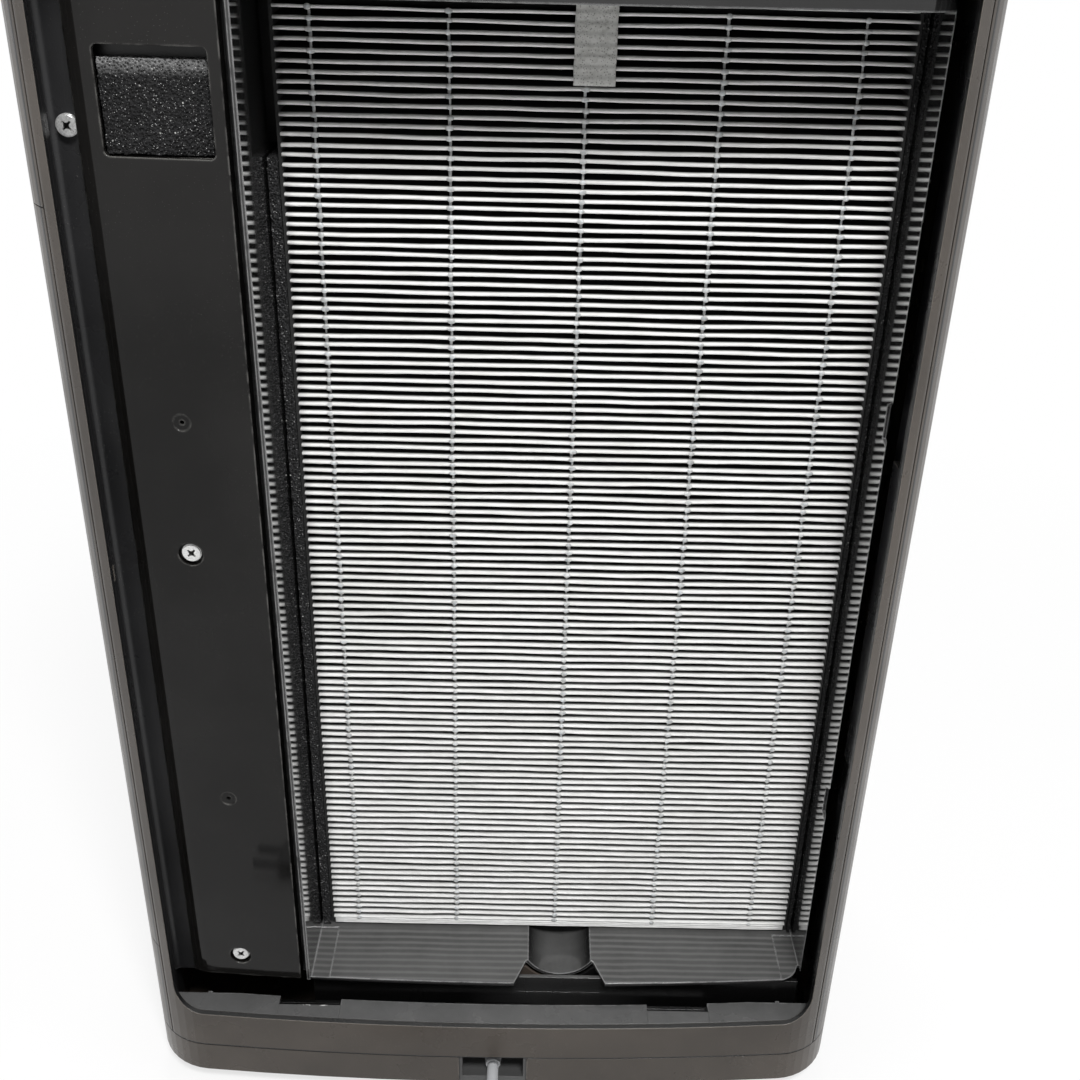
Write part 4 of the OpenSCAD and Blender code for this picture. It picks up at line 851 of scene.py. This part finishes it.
def end_folds():
    """Round-nosed folds as long as the filter is wide, each a closed bar."""
    verts, faces = [], []
    n, count = 10, 40
    for k, (z0, z1) in enumerate(END_FOLDS):
        base = len(verts)
        for i in range(count + 1):
            t = i / count
            x = HEPA_X0 + FOLD_INSET + (HEPA_X1 - HEPA_X0 - 2 * FOLD_INSET) * t
            p = Vector((x * 0.05, k * 2.3, 5.0))
            z = z1 + (z0 - z1) * t + 0.22 * noise.noise(p)
            y = FOLD_Y + 0.12 * noise.noise(p * 2)
            for j in range(n):
                a = 2 * math.pi * j / n
                verts.append((x * MM, (y + FOLD_RY * math.cos(a)) * MM,
                              (z + FOLD_RZ * math.sin(a)) * MM))
        for i in range(count):
            for j in range(n):
                a, b = base + i * n + j, base + i * n + (j + 1) % n
                faces.append((a, a + n, b + n, b))
        faces.append(tuple(base + j for j in range(n)))
        faces.append(tuple(base + count * n + j for j in reversed(range(n))))
    return verts, faces


folds = mesh_object("filter_end_folds", *end_folds())
folds.data.materials.append(paper)
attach(folds, "hepa_filter")

pleats = mesh_object("filter_pleats", *pleat_sheet())
PAPER_T = 0.4
solid = pleats.modifiers.new("paper", "SOLIDIFY")
solid.thickness = PAPER_T * MM
solid.offset = -1
pleats.data.materials.append(paper)
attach(pleats, "hepa_filter")
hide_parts("hepa_pleats")

BEADS = [-129.5, -79.5, -29.5, 20.5, 70.5]


def bead_mesh():
    """Blobs of glue on the pleat tips and the thread that joins them."""
    verts, faces = [], []

    def add_blob(c, rx, ry, rz):
        base = len(verts)
        rows, cols = 5, 8
        for i in range(rows + 1):
            t = math.pi * i / rows
            for j in range(cols):
                p = 2 * math.pi * j / cols
                verts.append(((c[0] + rx * math.sin(t) * math.cos(p)) * MM,
                              (c[1] + ry * math.sin(t) * math.sin(p)) * MM,
                              (c[2] + rz * math.cos(t)) * MM))
        for i in range(rows):
            for j in range(cols):
                a, b = base + i * cols + j, base + i * cols + (j + 1) % cols
                faces.append((a, b, b + cols, a + cols))

    for x in BEADS:
        for k in range(PLEATS):
            wob = rng.uniform(-0.3, 0.3)
            up, back = wander(k, x)
            add_blob((x + wob, HEPA_Y + back - 0.05, pleat_z(k) + up),
                     rng.uniform(1.15, 1.8), rng.uniform(0.4, 0.6), rng.uniform(0.8, 1.15))
            if k < PLEATS - 1:
                add_blob((x + wob, HEPA_Y - rng.uniform(1.2, 2.0), pleat_z(k) + PITCH / 2),
                         rng.uniform(0.4, 0.7), 0.35, PITCH / 2 - 0.1)
    return verts, faces


beads = mesh_object("glue_beads", *bead_mesh())
beads.data.materials.append(glue)
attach(beads, "hepa_filter")
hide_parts("hepa_beads")


def foam_block(name, lo, hi, step, rough, seed, material):
    """Open-cell foam: a box whose faces are broken up by its pores. Millimetres."""
    size = [b - a for a, b in zip(lo, hi)]
    counts = [max(1, round(s / step)) for s in size]
    verts, faces, index = [], [], {}

    def vertex(i, j, k):
        key = (i, j, k)
        if key not in index:
            p = Vector([lo[n] + size[n] * c / counts[n] for n, c in enumerate(key)])
            pull = Vector((0, 0, 0))
            depth = rough * (0.5 + 0.5 * noise.noise(p * 1.3 + Vector((seed, 0, 0))))
            for n, c in enumerate(key):
                if c == 0:
                    pull[n] += depth
                elif c == counts[n]:
                    pull[n] -= depth
            index[key] = len(verts)
            verts.append(tuple((p + pull) * MM))
        return index[key]

    for axis in range(3):
        u, v = [n for n in range(3) if n != axis]
        for end in (0, counts[axis]):
            for i in range(counts[u]):
                for j in range(counts[v]):
                    quad = []
                    for a, b in ((0, 0), (1, 0), (1, 1), (0, 1)):
                        key = [0, 0, 0]
                        key[axis], key[u], key[v] = end, i + a, j + b
                        quad.append(vertex(*key))
                    flip = (end == 0) == (axis != 1)
                    faces.append(tuple(reversed(quad)) if flip else tuple(quad))
    o = mesh_object(name, verts, faces, smooth=False)
    o.data.materials.append(material)
    return o


lo, hi = mm_box("sensor_foam")
window_foam = foam_block("window_foam", lo, hi, step=0.8, rough=0.9, seed=2, material=foam)
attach(window_foam, "cabinet")
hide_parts("sensor_foam")

lo, hi = mm_box("hepa_gasket")
GASKET_IN = (HEPA_X1 + 1.4, HEPA_X0 - 1.2)
GASKET_TOP = 442      # the lit side's strip ends short of the filter's top
right_foam = foam_block("gasket_right", [GASKET_IN[0], lo[1], lo[2]], [hi[0], hi[1], GASKET_TOP],
                        step=1.5, rough=0.7, seed=4, material=foam_lit)
left_foam = foam_block("gasket_left", lo, [GASKET_IN[1], hi[1], hi[2]],
                       step=1.5, rough=0.7, seed=6, material=foam_shaded)
for o in (right_foam, left_foam):
    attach(o, "hepa_filter")
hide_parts("hepa_gasket")


# Wall behind the shelf's finger cut, level with the skirt on both sides of it
CUT_X, CUT_HALF, CUT_Z, SKIRT_Y = -32.0, 20.5, (45.0, 55.4), (99.05, 100.97)


def wall_section(x, ys, z0, z1):
    return [(x * MM, y * MM, z * MM)
            for y, z in ((ys[0], z0), (ys[1], z0), (ys[1], z1), (ys[0], z1))]


guard = loft("finger_cut_wall", [wall_section(x, SKIRT_Y, *CUT_Z)
                                 for x in (CUT_X - CUT_HALF, CUT_X + CUT_HALF)], smooth=False)
guard.data.materials.append(well_black)
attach(guard, "cabinet")

# Brown wall of the core that shows beside and under the thumb scoop's rim
CORE_Y, CORE_TOP, CORE_HALF, RIM_Z, RIM_R = (92.3, 93.6), 55.6, 24, 66.8, 20.4


def core_top(dx):
    return min(CORE_TOP, RIM_Z - math.sqrt(max(0, RIM_R ** 2 - dx ** 2)))


core = loft("finger_cut_core", [wall_section(CUT_X + dx, CORE_Y, CUT_Z[0], core_top(dx))
                                for dx in range(-CORE_HALF, CORE_HALF + 1, 2)], smooth=False)
core.data.materials.append(casing_plain)
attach(core, "cabinet")


def pull_tab():
    """Strip of cloth tape that hangs from the filter's upper edge, a little rumpled."""
    lo, hi = mm_box("hepa_pull_tab")
    cols, rows = 14, 40
    verts, faces = [], []
    top = hi[2] - 0.2
    back = 19.0     # length that lies over the filter, out of sight
    total = back + (top - lo[2])
    for j in range(rows + 1):
        s = total * j / rows
        for i in range(cols + 1):
            x = lo[0] + (hi[0] - lo[0]) * i / cols
            if s < back:
                y, z = hi[1] - 0.6 - (back - s), top
            else:
                y, z = hi[1] - 0.6, top - (s - back)
            ripple = 0.35 * noise.noise(Vector((x * 0.16, s * 0.11, 1.0)))
            verts.append(((x + 0.25 * noise.noise(Vector((7.0, s * 0.2, 0)))) * MM,
                          (y + max(-0.1, ripple)) * MM, z * MM))
    n = cols + 1
    for j in range(rows):
        for i in range(cols):
            a = j * n + i
            faces.append((a, a + n, a + n + 1, a + 1))
    o = mesh_object("pull_tab", verts, faces)
    thick = o.modifiers.new("cloth", "SOLIDIFY")
    thick.thickness = 0.25 * MM
    thick.offset = 0
    o.data.materials.append(tape)
    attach(o, "hepa_filter")
    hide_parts("hepa_pull_tab")


pull_tab()

# ---------------------------------------------------------------- stage and lights
floor = mesh_object("floor", [(-3, -3, 0), (3, -3, 0), (3, 3, 0), (-3, 3, 0)], [(0, 1, 2, 3)],
                    smooth=False)
ground = Nodes("floor_paint", (0.86, 0.86, 0.86), 0.85, specular=0.1)
ground.color(ground.blend(ground.span(ground.noise(3, 3), 0.3, 0.7), (0.84, 0.84, 0.84),
                          (0.88, 0.88, 0.88)))
ground.done()
glow = ground.new("ShaderNodeEmission")
glow.inputs["Strength"].default_value = 1.0
ray = ground.new("ShaderNodeLightPath")
# White to the eye away from the product, with its shadow kept round it
away = ground.new("ShaderNodeVectorMath")
away.operation = "LENGTH"
ground.link(ground.coord, away.inputs[0])
share = ground.span(away.outputs["Value"], 0.25, 0.9, 0.72, 1.0)
seen = ground.times(ground.either(
    ground.either(ray.outputs["Is Camera Ray"], ray.outputs["Is Glossy Ray"]),
    ray.outputs["Is Transmission Ray"]), share)
mixer = ground.new("ShaderNodeMixShader")
ground.link(seen, mixer.inputs["Fac"])
ground.link(ground.b.outputs["BSDF"], mixer.inputs[1])
ground.link(glow.outputs["Emission"], mixer.inputs[2])
ground.link(mixer.outputs["Shader"], ground.t.nodes["Material Output"].inputs["Surface"])
floor.data.materials.append(ground.mat)


def area(name, at, aim, size, power):
    light = bpy.data.lights.new(name, "AREA")
    light.shape = "RECTANGLE"
    light.size, light.size_y = size
    light.energy = power
    o = bpy.data.objects.new(name, light)
    o.location = at
    o.rotation_euler = (Vector(aim) - Vector(at)).to_track_quat("-Z", "Y").to_euler()
    bpy.context.collection.objects.link(o)


area("key", (-0.25, 1.15, 2.0), (0, 0.08, 0.3), (0.5, 0.4), 42)
area("fill_left", (1.6, 0.6, 0.9), (0, 0.05, 0.3), (0.8, 1.2), 5)
area("fill_right", (-1.6, 0.5, 0.9), (0, 0.05, 0.3), (0.8, 1.2), 5)
area("front", (0.2, -1.8, 1.4), (0, 0, 0.3), (1.2, 1.0), 18)

# White to the eye and in reflections, dimmer as a light
WORLD_LEVEL = 0.26
world = bpy.data.worlds.new("world")
world.use_nodes = True
wt = world.node_tree
sky = wt.nodes["Background"]
sky.inputs["Color"].default_value = (1, 1, 1, 1)
path = wt.nodes.new("ShaderNodeLightPath")
keep = wt.nodes.new("ShaderNodeMath")
keep.operation = "MAXIMUM"
wt.links.new(path.outputs["Is Camera Ray"], keep.inputs[0])
both = wt.nodes.new("ShaderNodeMath")
both.operation = "MAXIMUM"
wt.links.new(path.outputs["Is Glossy Ray"], both.inputs[0])
wt.links.new(path.outputs["Is Transmission Ray"], both.inputs[1])
wt.links.new(both.outputs["Value"], keep.inputs[1])
level = wt.nodes.new("ShaderNodeMapRange")
level.inputs["To Min"].default_value = WORLD_LEVEL
level.inputs["To Max"].default_value = 1.0
wt.links.new(keep.outputs["Value"], level.inputs["Value"])
wt.links.new(level.outputs["Result"], sky.inputs["Strength"])
bpy.context.scene.world = world
bpy.context.scene.view_settings.view_transform = "Standard"
